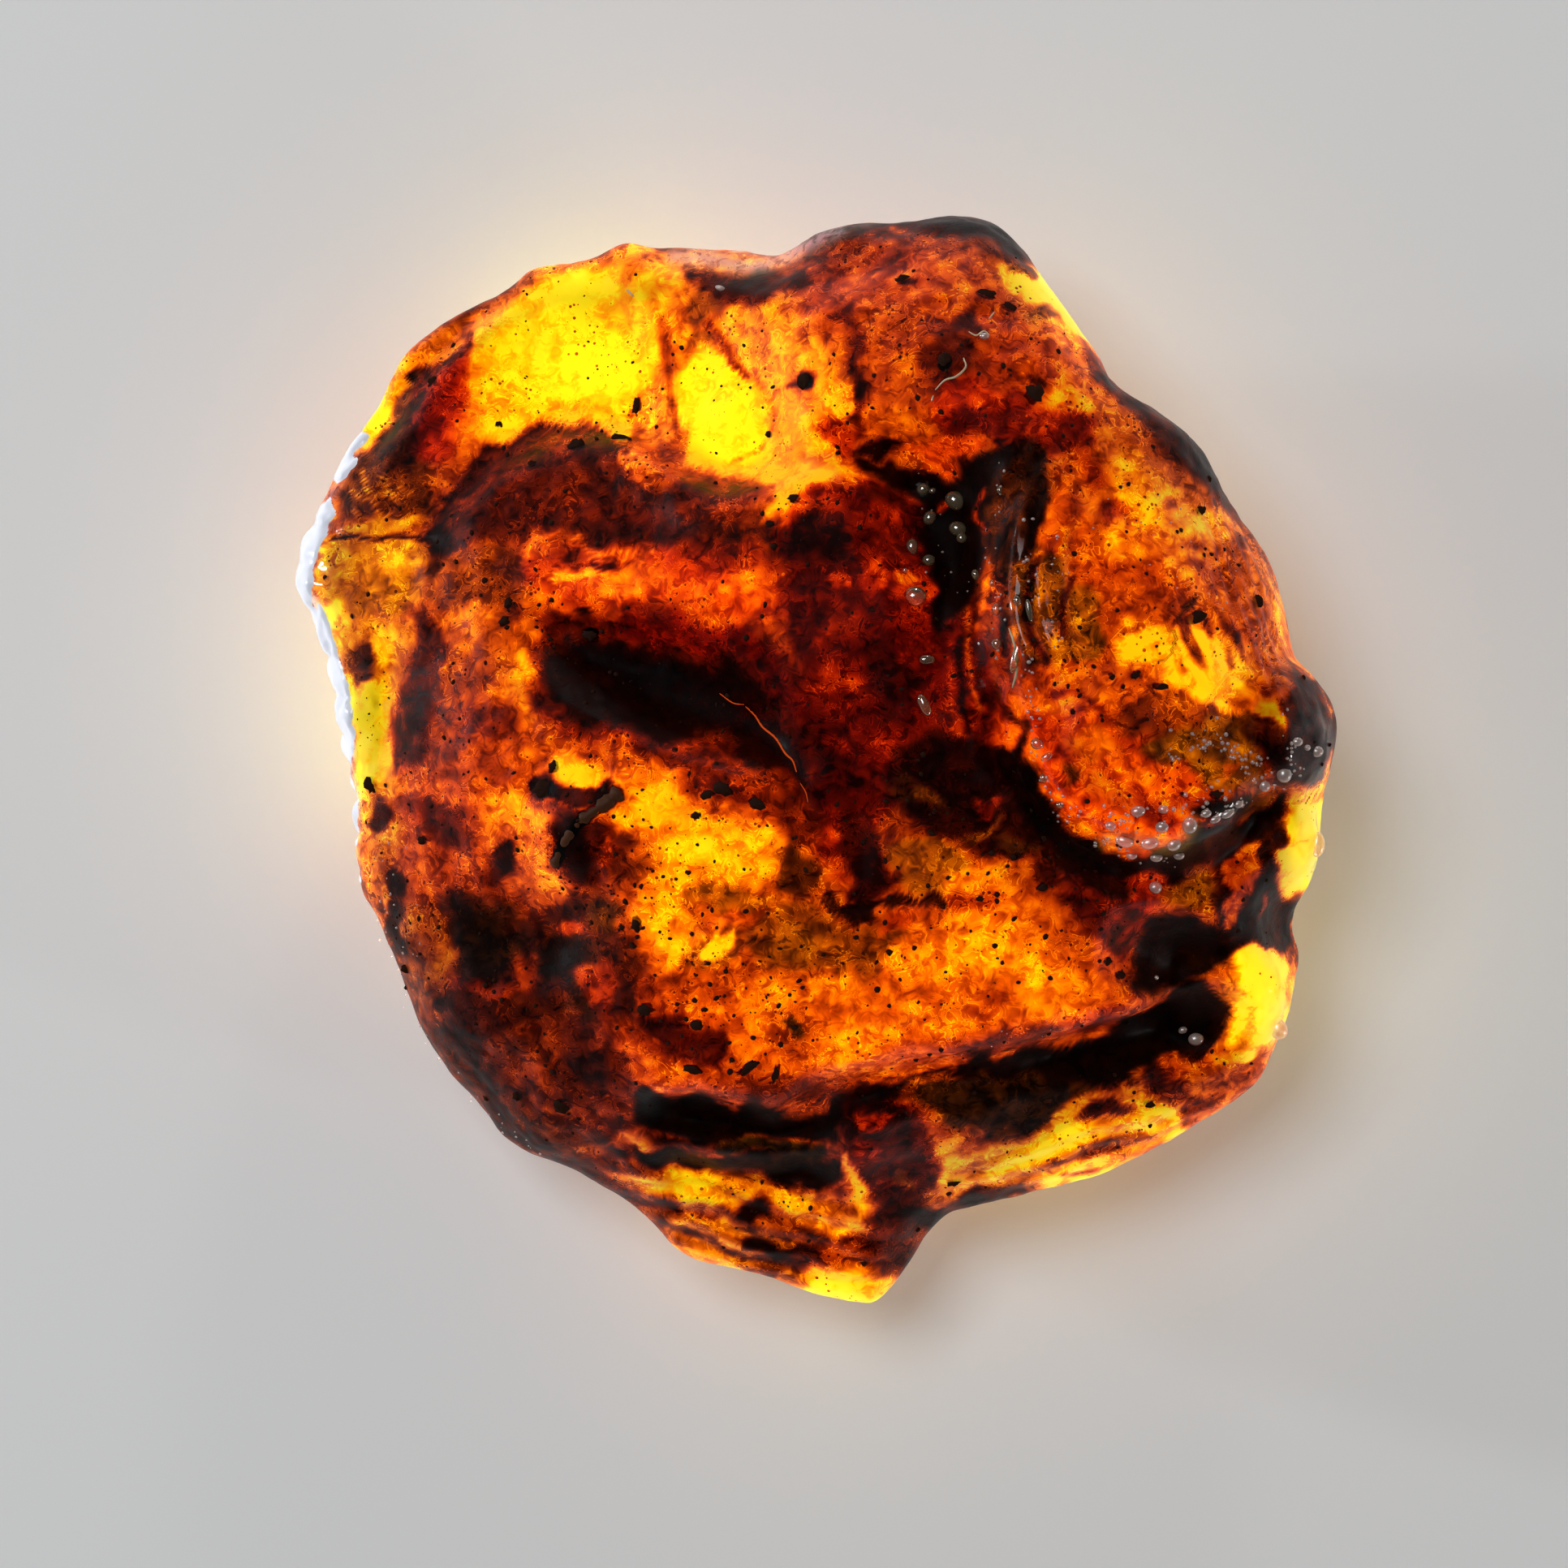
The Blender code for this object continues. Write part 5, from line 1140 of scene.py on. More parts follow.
def joined_balls(centres, radii, turns, around, rows, rough=0.0, seed=0):
    """Many balls in one mesh: each is stretched by its three radii, turned about the upright, and
    its points are moved in or out by up to rough of its size."""
    ball, faces = unit_ball(around, rows)
    dice = np.random.default_rng(seed)
    c, s = np.cos(turns)[:, None], np.sin(turns)[:, None]
    swell = 1 + rough * dice.uniform(-1, 1, (len(centres), len(ball), 1))
    sized = ball[None] * swell * radii[:, None, :]
    x = sized[:, :, 0] * c - sized[:, :, 1] * s
    y = sized[:, :, 0] * s + sized[:, :, 1] * c
    points = np.stack([x, y, sized[:, :, 2]], -1) + centres[:, None, :]
    every = [[corner + i * len(ball) for corner in face] for i in range(len(centres)) for face in faces]
    return points.reshape(-1, 3), every


def tube(path, radii, around=12):
    """A closed tube along a path: a ring of the local radius at each of its points, square to it,
    and a point at each end."""
    path, radii = np.asarray(path, float), np.asarray(radii, float)
    way = np.gradient(path, axis=0)
    way /= np.linalg.norm(way, axis=1, keepdims=True)
    side = np.cross(way, [0, 0, 1.0])
    side /= np.linalg.norm(side, axis=1, keepdims=True)
    up = np.cross(side, way)
    turn = np.arange(around) * 2 * math.pi / around
    spoke = side[:, None] * np.cos(turn)[None, :, None] + up[:, None] * np.sin(turn)[None, :, None]
    body = (path[:, None] + spoke * radii[:, None, None]).reshape(-1, 3)
    ends = np.array([path[0] - way[0] * radii[0] * 0.6, path[-1] + way[-1] * radii[-1] * 0.6])
    index = np.arange(len(body)).reshape(len(path), around)
    nxt = np.roll(index, -1, axis=1)
    quads = np.stack([index[:-1], nxt[:-1], nxt[1:], index[1:]], -1).reshape(-1, 4).tolist()
    caps = [[len(body), b, a] for a, b in zip(index[0], nxt[0])]
    caps += [[len(body) + 1, a, b] for a, b in zip(index[-1], nxt[-1])]
    return np.vstack([body, ends]), quads + caps


class Skin:
    """The crown's points and outward normals, to set small pieces on or under it."""

    def __init__(self, points):
        grid = points[:(CROWN_CELLS + 1) ** 2].reshape(CROWN_CELLS + 1, CROWN_CELLS + 1, 3)
        self.normals = grid_normals(grid).reshape(-1, 3)
        self.points = grid.reshape(-1, 3)

    def at(self, xy, depth=0.0):
        """The skin's points above or below xy, depth in from the skin: its four nearest points'
        heights and normals, weighed by one over their squared distance."""
        places = np.atleast_2d(np.asarray(xy, float))
        depth = np.broadcast_to(depth, len(places))
        found = np.empty((len(places), 3))
        for row, place in enumerate(places):
            gap = ((self.points[:, :2] - place) ** 2).sum(1)
            near = gap.argpartition(4)[:4]
            weight = 1 / (gap[near] + 1e-6)
            weight /= weight.sum()
            found[row] = (*place, weight @ self.points[near, 2])
            found[row] -= depth[row] * (weight @ self.normals[near])
        return found


def joined(*meshes):
    """Several (points, faces) as one."""
    points, faces, start = [], [], 0
    for some_points, some_faces in meshes:
        points.append(some_points)
        faces += [[corner + start for corner in face] for face in some_faces]
        start += len(some_points)
    return np.vstack(points), faces


# --- Small pieces on the lump -----------------------------------------------------------------

# The rim's frosted skin, whose pale colour is partly painted glare:
FROST_ALONG = (70, 250)  # the frosted rim's reach in the crown's cells
FROST_ACROSS, FROST_BELOW = 20, 7  # rows of cells on the crown and rings on the belly
FROST_THICK, FROST_UNDER = 0.1, 0.3  # its plain thickness, and how far its underside is sunk
FROST_TURN = (-0.05, 0.3)  # it thins out where the skin turns down, by how far its normal points up
FROST_BROKEN = [(0.5, 1.3), (0.45, 0.55)]  # the noise that breaks it up: strength, size
FROST_FROM, FROST_WHERE, KNOB_SIZE = (0.25, 0.75), (0.05, 0.3), 0.9

GRAINS, FROM_RIM = 1200, 0.6  # dark grains scattered over the crown, and how far off its rim they stay
GAPS = [(1.0, 5.0), (0.6, 2.0)]  # the noise that leaves gaps between them: strength, size
# Where grains crowd: centre, spread and how many.
CROWDS = [
    (-9, -7.6, 1.8, 50), (-5.6, -12.6, 2, 60), (-14.2, 7.6, 2.6, 60), (-24.4, 2.4, 0.9, 18),
    (-10.4, 18.6, 1.8, 36), (-18.4, 19.6, 1.8, 30), (2.4, 19.8, 1.8, 22), (-12.4, -3.4, 2, 40),
    (8.4, -11.4, 2.6, 46), (12.6, -6.4, 1.8, 26), (-2, -12.2, 2, 40), (10.6, 22.4, 2.2, 30),
    (-1.4, 12.8, 1.6, 34), (16.6, -17.6, 1.8, 20), (-22.6, -9.4, 1.2, 24), (-15, -14.4, 2.4, 50),
    (-6.6, -4.2, 2, 30), (13.6, 5.4, 2.6, 40), (20.6, 10.6, 2, 24), (-19.4, 0.8, 2.4, 40),
    (15.6, -10.4, 1, 12), (-3.6, -7, 2.4, 24), (4, -3, 2.4, 30), (-2.2, -24, 1.6, 14),
]
GRAIN_SIZES, GRAIN_POWER, GRAIN_STRETCH = (0.035, 0.16), 2.4, (0.7, 1.35)
CLEAR_RESIN, CLEAR_SIZE = 0.8, 0.6  # where the resin glows more than this, its grains are smaller
GRAIN_HIGH, CLOT_HIGH, BEAD_HIGH = 0.5, 0.25, 0.8  # height over breadth
BEAD_LIFT = 0.05  # how far a bead's middle stands over the skin
TINY_STRETCH, TINY_SIZES, THREAD_TAPER = (0.8, 1.2), (0.4, 1.1), 0.25
# Clots of dark stuff: place, radii, turn in degrees.
CLOTS = [
    (-11.9, 6.9, 0.42, 0.36, 0), (-16.6, 7.6, 0.3, 0.24, 30), (-16.4, 8.6, 0.3, 0.2, 80),
    (-10.4, 17.6, 0.5, 0.22, -12), (-12.8, 17.2, 0.5, 0.34, 20), (-15.2, 16.2, 0.24, 0.2, 0),
    (-9.6, 19.5, 0.24, 0.44, -10), (-0.4, 20.3, 0.42, 0.4, 20), (-20.9, 21, 0.3, 0.24, 40),
    (-17.2, 18.6, 0.2, 0.16, 0), (-1, 13.9, 0.34, 0.22, 0), (-2.3, 12.6, 0.26, 0.2, 0),
    (6.9, 21.1, 0.34, 0.44, 0), (4.8, 25.8, 0.4, 0.28, 10), (9.2, 24.9, 0.5, 0.26, -12),
    (10.4, 24.2, 0.4, 0.26, -20), (11.6, 19.4, 0.46, 0.5, 10), (20.1, 7.6, 0.62, 0.3, 20),
    (23.7, 8.6, 0.3, 0.36, 0), (20.6, 13.4, 0.28, 0.22, 30), (-14.3, -1.4, 0.62, 0.42, 10),
    (-13.8, -0.2, 0.36, 0.26, 50), (-4.8, -1.4, 0.52, 0.34, -30), (-5.6, -1.7, 0.4, 0.22, 20),
    (-3, -2.2, 0.42, 0.26, -20), (-6.2, -2.8, 0.28, 0.2, 0), (-21.2, -4.2, 0.26, 0.24, 0),
    (-24.2, -1.2, 0.34, 0.44, 20), (-9.4, -8.6, 0.3, 0.42, 0), (-8.9, -13.2, 0.44, 0.34, 20),
    (-6.2, -14, 0.32, 0.3, 0), (-6.4, -16.4, 0.5, 0.24, -10), (-3.5, -16.3, 0.62, 0.24, 32),
    (-2, -16.6, 0.18, 0.5, -14), (-13.6, -18.6, 0.5, 0.4, 0), (-16.1, -18.2, 0.28, 0.24, 0),
    (-22.4, -11.3, 0.3, 0.24, 0), (10.6, -5, 0.2, 0.18, 0), (12.1, -6.6, 0.26, 0.22, 0),
    (15.7, -10.6, 0.26, 0.2, 20), (16.4, -11.4, 0.3, 0.22, 0), (8.8, -7.2, 0.2, 0.16, 0),
    (16.9, 4.6, 0.26, 0.2, 40), (18.2, 4, 0.44, 0.18, -5), (15.6, 4.5, 0.18, 0.2, 30),
    (18.4, -18.6, 0.3, 0.2, 0), (7.8, -23, 0.4, 0.2, 20), (21.3, -1.7, 0.34, 0.22, 0),
]
# Clear beads of resin: place, radii and turn. Those of the drip hollow come first, then the lobe's
# lip and pan, the knob and the two pits.
BEADS = [
    (5.9, 14.6, 0.36, 0.34, 0), (6.4, 14.5, 0.2, 0.16, 20), (5.2, 11.4, 0.34, 0.46, 0),
    (6.1, 10.7, 0.36, 0.32, 0), (7.7, 12.4, 0.5, 0.4, -20), (7.9, 11.9, 0.3, 0.28, 0),
    (8.6, 9.9, 0.22, 0.3, 20), (5.3, 8.7, 0.62, 0.56, 0), (6.2, 13, 0.4, 0.34, 60),
    (5.8, 3, 0.28, 0.62, 24), (5.9, 5.4, 0.46, 0.26, 0), (7.6, 13.9, 0.6, 0.5, -30),
    (4.8, 10.1, 0.16, 0.14, 0), (9.8, 14.3, 0.16, 0.2, 0), (9.4, 9.4, 0.14, 0.2, 0),
    (10.6, 8.4, 0.2, 0.3, 10), (10.6, 5.6, 0.24, 1, -14), (11.2, 7.9, 0.16, 0.62, 10),
    (9.6, 6.2, 0.3, 0.3, 0), (9.6, 8, 0.24, 0.34, 0), (11.7, 1, 0.34, 0.32, 0),
    (12.2, 0.3, 0.34, 0.2, 30), (12.1, -0.8, 0.2, 0.24, 0), (13, -2.2, 0.22, 0.18, 0),
    (15.6, -3.3, 0.3, 0.24, 0), (16.4, -4.1, 0.5, 0.34, -12), (17, -2.6, 0.42, 0.3, 10),
    (17.7, -4.2, 0.5, 0.34, 14), (18.3, -3.4, 0.36, 0.3, 0), (19, -4.3, 0.4, 0.34, 20),
    (19.8, -3.3, 0.42, 0.46, 0), (19.4, -4.9, 0.3, 0.22, 0), (18.2, -5, 0.34, 0.24, 0),
    (16.9, -4.9, 0.3, 0.2, 0), (18.4, -2.5, 0.28, 0.24, 0), (20.7, -2.7, 0.3, 0.22, 10),
    (21.2, -3, 0.34, 0.2, 20), (21.9, -2.7, 0.4, 0.22, 24), (22.5, -2.2, 0.26, 0.2, 0),
    (18.25, -6.7, 0.36, 0.34, 0), (25.6, 1.1, 0.3, 0.24, 0), (26.8, 0.6, 0.34, 0.3, 0),
    (26.2, 0.8, 0.18, 0.16, 0), (21, -15.1, 0.44, 0.36, 0), (20.3, -14.6, 0.26, 0.2, 20),
    (18.5, -11.6, 0.12, 0.12, 0), (24, -1.2, 0.3, 0.34, 30), (25, -0.6, 0.4, 0.44, 0),
    (27.3, -4.4, 0.42, 0.7, 0), (25.4, -14.5, 0.5, 0.6, 20), (9, 22.5, 0.26, 0.18, 0),
    (-5, 25.8, 0.3, 0.14, -20),
]
# Rows of the tiniest beads, along the folds, the lip, the pan and the knob's foot: line, how many,
# spread either side and radius.
BEAD_ROWS = [
    ([(9.9, 16.2), (9.6, 13.2), (9.2, 10.8), (9.6, 8.2), (9.8, 5)], 26, 0.4, 0.09),
    ([(10.9, 13), (11.4, 9), (11.2, 5.4), (11.4, 2.4), (11.6, 0.4)], 34, 0.45, 0.1),
    ([(12.6, 12), (13, 8.4), (12.4, 5.4)], 14, 0.5, 0.08),
    ([(11.6, 0.2), (12.6, -1.8), (14.4, -3.4), (16.4, -4.6), (19, -5.4)], 44, 0.5, 0.11),
    ([(15.2, -2.6), (17.4, -3), (19.6, -2.4), (21.8, -1.4)], 44, 0.9, 0.13),
    ([(18.6, 0.4), (20.6, 1.2), (22.4, 0.4), (23.6, -0.6), (25, -1.4)], 70, 0.9, 0.12),
    ([(20.6, -2.9), (22, -2.5), (23.6, -1.9)], 22, 0.3, 0.1),
    ([(6, -15.4), (10.6, -14.6), (15.4, -13.6)], 16, 0.8, 0.05),
    ([(-24.9, -7.4), (-23.6, -10.8), (-22, -14.6), (-19, -18.6), (-15.2, -21.6)], 46, 0.7, 0.07),
    ([(-24.4, -3), (-23.2, -7), (-22.2, -12)], 20, 1.2, 0.08),
    ([(5.6, 15), (6.6, 12.4), (6.8, 9.6), (8.2, 9.8)], 14, 0.9, 0.07),
    ([(14, 15), (19, 12), (22, 8)], 20, 2.4, 0.06),
    ([(24.9, 2.6), (25.2, 0.6), (26, -0.6)], 16, 0.5, 0.1),
]
# Threads of glossy resin, pale as painted highlights, the last one a painted glint on a fold: half width and
# line.
THREADS_AND_GLINTS = [
    (0.05, [(8.2, 22.75), (8.6, 22.55), (9, 22.8), (9.3, 22.6)]),
    (0.06, [(6.4, 19.6), (6.9, 20.1), (7.5, 20.3), (8, 20.8), (7.9, 21.3)]),
    (0.05, [(9.3, 23.5), (9.6, 23.9)]),
    (0.05, [(6.2, 19), (6.3, 19.3)]),
    (0.07, [(-10.2, 26), (-9.8, 25.6)]),
    (0.09, [(10.2, 7), (10.5, 6), (10.6, 4.8), (10.4, 3.9)]),
]
# The edge of a layer, a thin line that glows as painted light: half width and line.
LAYER_EDGE = [
    (0.035, [(-5, 3.7), (-4.3, 3.2), (-3.7, 3.1)]),
    (0.055, [(-3.6, 3), (-3.1, 2.5), (-2.7, 1.9), (-2, 1.3), (-1.5, 0.5), (-1.1, 0.1), (-0.9, -0.5)]),
    (0.03, [(-0.7, -1.1), (-0.4, -1.6), (-0.3, -2.1)]),
]
# The plant's stub: its line, radius, how much that grows to its end, the swells of its joints as
# height and how often, how deep it lies, and over how many points either side it is evened out.
TWIG_LINE = [(-13.9, -5.6), (-13.2, -4.2), (-12.3, -3.1), (-11.2, -2.3), (-10.3, -1.6)]
TWIG_RADIUS, TWIG_FLARE, TWIG_JOINTS = 0.3, 0.2, [(0.05, 26), (0.04, 61)]
TWIG_DEPTH, TWIG_EVEN = 0.25, 4


def scattered_grains(skin):
    """Places for the grains: all over, thinned where value noise is low, and in the crowds."""
    dice = np.random.default_rng(PLACES_SEED)
    spots = dice.uniform((-28, -29), (28, 29), (GRAINS * 5, 2))
    thick = sum(much * flat_field(spots, size, seed) for (much, size), seed in zip(GAPS, GAPS_SEEDS))
    spots = spots[thick > dice.uniform(-1.1, 0.9, len(spots))][:GRAINS]
    crowds = [dice.normal((x, y), spread, (count, 2)) for x, y, spread, count in CROWDS]
    spots = np.vstack([spots, *crowds])
    rim = smooth_line(OUTLINE, closed=True)
    inside = inside_curve(spots, rim) & (np.abs(beside_curve(spots, rim)[0]) > FROM_RIM)
    return skin.at(spots[inside])


def dark_grains(skin, material):
    """Grains and clots of dark stuff, sunk to half their height in the skin."""
    places = scattered_grains(skin)
    dice = np.random.default_rng(GRAINS_SEED)
    least, most = GRAIN_SIZES
    size = least + (most - least) * dice.uniform(0, 1, len(places)) ** GRAIN_POWER
    size = np.where(cloud_fields(places[:, :2])[0] > CLEAR_RESIN, CLEAR_SIZE * size, size)
    radii = size[:, None] * dice.uniform(*GRAIN_STRETCH, (len(places), 3)) * (1, 1, GRAIN_HIGH)
    turns = dice.uniform(0, math.pi, len(places))
    small = joined_balls(places, radii, turns, around=7, rows=4, rough=0.22, seed=SMALL_SEED)
    x, y, across, along, turn = np.array(CLOTS).T
    radii = np.column_stack([across, along, np.minimum(across, along) * CLOT_HIGH])
    places = skin.at(np.column_stack([x, y]))
    large = joined_balls(places, radii, np.radians(turn), around=14, rows=7, rough=0.34, seed=LARGE_SEED)
    return piece_from("dark_grains", *joined(small, large), material)


def beads(name, rows, skin, material):
    """Drops that stand on the skin, each an oval with a lower top."""
    x, y, across, along, turn = np.array(rows).T
    radii = np.column_stack([across, along, np.minimum(across, along) * BEAD_HIGH])
    places = skin.at(np.column_stack([x, y]), depth=-BEAD_LIFT)
    drops = joined_balls(places, radii, np.radians(turn), around=20, rows=11)
    return piece_from(name, *drops, material)


def tiny_beads(skin, material):
    """Rows of the tiniest drops, strewn about their lines."""
    dice = np.random.default_rng(DROPS_SEED)
    spots, sizes = [], []
    for line, count, spread, radius in BEAD_ROWS:
        curve = smooth_line(line, steps=24)
        spots.append(curve[dice.integers(0, len(curve), count)] + dice.normal(0, spread * 0.5, (count, 2)))
        sizes.append(radius * dice.uniform(*TINY_SIZES, count))
    radii = np.concatenate(sizes)[:, None] * dice.uniform(*TINY_STRETCH, (sum(map(len, sizes)), 3))
    places = skin.at(np.vstack(spots))
    kept = inside_curve(places[:, :2], smooth_line(OUTLINE, closed=True))
    drops = joined_balls(places[kept], radii[kept], np.zeros(kept.sum()), around=10, rows=6)
    return piece_from("tiny_beads", *drops, material)


def threads(name, rows, skin, material):
    """Threads that lie along the skin, thinner to their ends."""
    tubes = []
    for half, line in rows:
        curve = smooth_line(line, steps=6)
        radii = half * np.sin(np.linspace(THREAD_TAPER, math.pi - THREAD_TAPER, len(curve))) ** 0.5
        tubes.append(tube(skin.at(curve, 0.0), radii))
    return piece_from(name, *joined(*tubes), material)


def plant_twig(skin, material):
    """A stub of plant with a rounded end: a tube whose radius swells at its joints."""
    line = smooth_line(TWIG_LINE, steps=8)
    along = np.linspace(0, 1, len(line))
    radii = TWIG_RADIUS + TWIG_FLARE * along**3
    for high, often in TWIG_JOINTS:
        radii += high * np.sin(along * often)
    path = skin.at(line, TWIG_DEPTH)
    # Its height is a running mean of the skin's, so that it doesn't dip into each wrinkle.
    mean = np.full(2 * TWIG_EVEN + 1, 1 / (2 * TWIG_EVEN + 1))
    path[:, 2] = np.convolve(np.pad(path[:, 2], TWIG_EVEN, mode="edge"), mean, "valid")
    return piece_from("plant_twig", *tube(path, radii, 20), material)


def rim_frost_and_glare(points, frost_and_glint, material):
    """The frosted skin of the thin side's rim, pale partly as painted glare: the lump's own points there,
    raised by the share of frost and highlights, and a second sheet under them that closes it."""
    side = np.arange(*FROST_ALONG)
    crown = np.arange(FROST_ACROSS)[:, None] * (CROWN_CELLS + 1) + side
    below = np.arange(FROST_BELOW, 0, -1)[:, None] * 4 * CROWN_CELLS - side
    rows = np.vstack([(CROWN_CELLS + 1) ** 2 + below, crown])
    grid = points[rows]
    normal = grid_normals(grid)
    flat = grid.reshape(-1, 3)
    broken = sum(much * lump_field(flat, size, seed)
                 for (much, size), seed in zip(FROST_BROKEN, FROST_SEEDS))
    share = smooth_share(*FROST_FROM, frost_and_glint[rows] + broken.reshape(rows.shape))
    share *= smooth_share(*FROST_WHERE, frost_and_glint[rows])
    share *= smooth_share(*FROST_TURN, normal[:, :, 2])
    knobs = np.abs(lump_field(flat, KNOB_SIZE, FROST_SEEDS[-1])).reshape(rows.shape)
    over = grid + normal * (FROST_THICK * (1.2 + 2 * knobs) * share - FROST_THICK * 0.6)[:, :, None]
    under = grid - normal * FROST_UNDER
    return closed_sheet("rim_frost_and_glare", over, under, material)


def closed_sheet(name, over, under, material):
    """Two grids of points, one over the other, joined round their edge into a closed mesh."""
    rows, columns = over.shape[:2]
    top = np.arange(rows * columns).reshape(rows, columns)
    low = top + rows * columns
    back = np.stack([low[:-1, :-1], low[:-1, 1:], low[1:, 1:], low[1:, :-1]], -1).reshape(-1, 4)
    edge = border(top)
    nxt = np.roll(edge, -1)
    down = rows * columns
    side = np.stack([edge, edge + down, nxt + down, nxt], -1)
    points = np.vstack([over.reshape(-1, 3), under.reshape(-1, 3)])
    return piece_from(name, points, sheet_quads(top) + back.tolist() + side.tolist(), material)


# --- Materials --------------------------------------------------------------------------------

# Colours from the darkest resin to the clearest, as how clear and then red, green and blue to 255.
HONEY_RAMP = [
    (0.0, 7, 4, 3), (0.12, 34, 13, 3), (0.25, 78, 29, 3), (0.38, 122, 48, 3), (0.5, 170, 75, 1),
    (0.62, 214, 108, 3), (0.72, 242, 147, 4), (0.82, 253, 184, 6), (0.92, 255, 220, 12), (1.0, 255, 246, 50),
]
RED_RAMP = [
    (0.0, 7, 3, 2), (0.12, 38, 7, 2), (0.25, 88, 16, 2), (0.38, 138, 29, 1), (0.5, 186, 48, 1),
    (0.62, 230, 80, 2), (0.72, 250, 110, 6), (0.82, 255, 150, 15), (0.92, 255, 200, 20), (1.0, 255, 235, 55),
]
OLIVE_RAMP = [
    (0.0, 6, 6, 4), (0.12, 24, 19, 7), (0.25, 58, 43, 11), (0.38, 92, 66, 13), (0.5, 132, 92, 13),
    (0.62, 170, 120, 13), (0.72, 206, 152, 13), (0.82, 234, 194, 20), (0.92, 250, 236, 44),
    (1.0, 255, 252, 90),
]
# The pale colour of frosted skin and of painted highlights.
FROST_AND_GLINT_COLOUR = (0.76, 0.78, 0.92, 1.0)

# The resin's noises: lumps per millimetre, detail, roughness and curl.
BROAD_NOISE, FINE_NOISE, STROKE_NOISE = (0.36, 2.0, 0.76, 0.0), (1.3, 2.0, 0.75, 0.9), (1.3, 0.0, 0.6, 0.0)
STROKE_SQUASH = (0.24, 1.0, 0.5)
BROAD_PUSH, FINE_PUSH, STROKE_PUSH = 0.6, 0.7, 0.18  # how much clearer or darker each makes the resin
THREAD_WIDTH, THREAD_PUSH = 0.024, 0.32
CURDS_PER_MM, CURD_REACH, CURD_BEND, CURD_PALER, CURD_DARKER = 1.1, (0.15, 0.75), 0.9, 0.12, 0.06
SPECKS_PER_MM, SPECK_DARK = 2.3, 0.5
# Spans that are stretched to others: from low and high, to low and high.
BLACK_CALM, CLEAR_CALM = (0.02, 0.36, 0.12, 1), (0.72, 1, 1, 0.5)
THREADS_WHERE, SPECKS_WHERE, ROUGH_SPAN = (0.42, 0.6, 0.1, 1), (0.42, 0.66, 0, 0.24), (0.3, 0.7, 0.4, 0.55)
STROKE_SPAN, FROST_AND_GLINT_SPAN, WET_SPAN = (0.36, 0.64), (0.2, 0.5), (0.35, 0.6)
BELLY_PUSH = 0.3  # the share of all that on the belly
CROWN_DEPTH, BELLY_DEPTH = 2.0, 0.45  # gammas of their colours; the belly is pale, so that light passes
THROUGH = 0.6  # share of light that passes through instead of coming back
PAINTED_EDGE_GLOW = 0.55  # painted glow: the rim's own colour given off as emission, standing in for light that comes through the thin rim
ABSORB, ABSORB_COLOUR = 60.0, (0.98, 0.8, 0.2, 1.0)  # per metre
BUMP_STRENGTH, BUMP_HEIGHT = 0.35, 0.06
# The small pieces' materials: dark grains, clear and pearly drops, threads pale as painted highlights, an
# edge with a painted glow, plant and frosted skin pale partly as painted glare.
SMALL_LOOKS = {
    "grain_brown": dict(Base_Color=(0.022, 0.006, 0.002, 1), Roughness=0.7, Specular_IOR_Level=0.08),
    "drop_resin": dict(Base_Color=(0.9, 0.62, 0.3, 1), Roughness=0.05, IOR=1.54, Transmission_Weight=0.9,
                       Coat_Weight=1.0, Coat_Roughness=0.15, Coat_IOR=2.0),
    "pearl_resin": dict(Base_Color=(1.0, 0.72, 0.62, 1), Roughness=0.25, IOR=1.3, Transmission_Weight=0.7,
                        Coat_Weight=1.0, Coat_Roughness=0.3, Coat_IOR=2.4),
    # Pale as painted highlights.
    "thread_resin_glint": dict(Base_Color=(0.55, 0.42, 0.25, 1), Roughness=0.18),
    # A painted glow: it gives off light though it is no lamp.
    "painted_glow_resin": dict(Base_Color=(0.4, 0.05, 0.01, 1), Roughness=0.6, Specular_IOR_Level=0.0,
                      Emission_Color=(1.0, 0.1, 0.005, 1), Emission_Strength=0.3),
    "plant_brown": dict(Base_Color=(0.06, 0.018, 0.005, 1), Roughness=0.55, Specular_IOR_Level=0.15),
    # Pale partly as painted glare.
    "frosted_skin_and_glare": dict(Base_Color=(0.8, 0.83, 0.93, 1), Roughness=0.3, Coat_Weight=0.6, Coat_Roughness=0.1),
}


def linear(shade):
    """A screen colour's 0 to 255 as light's 0 to 1, by the usual 2.2 power."""
    return (shade / 255) ** 2.2


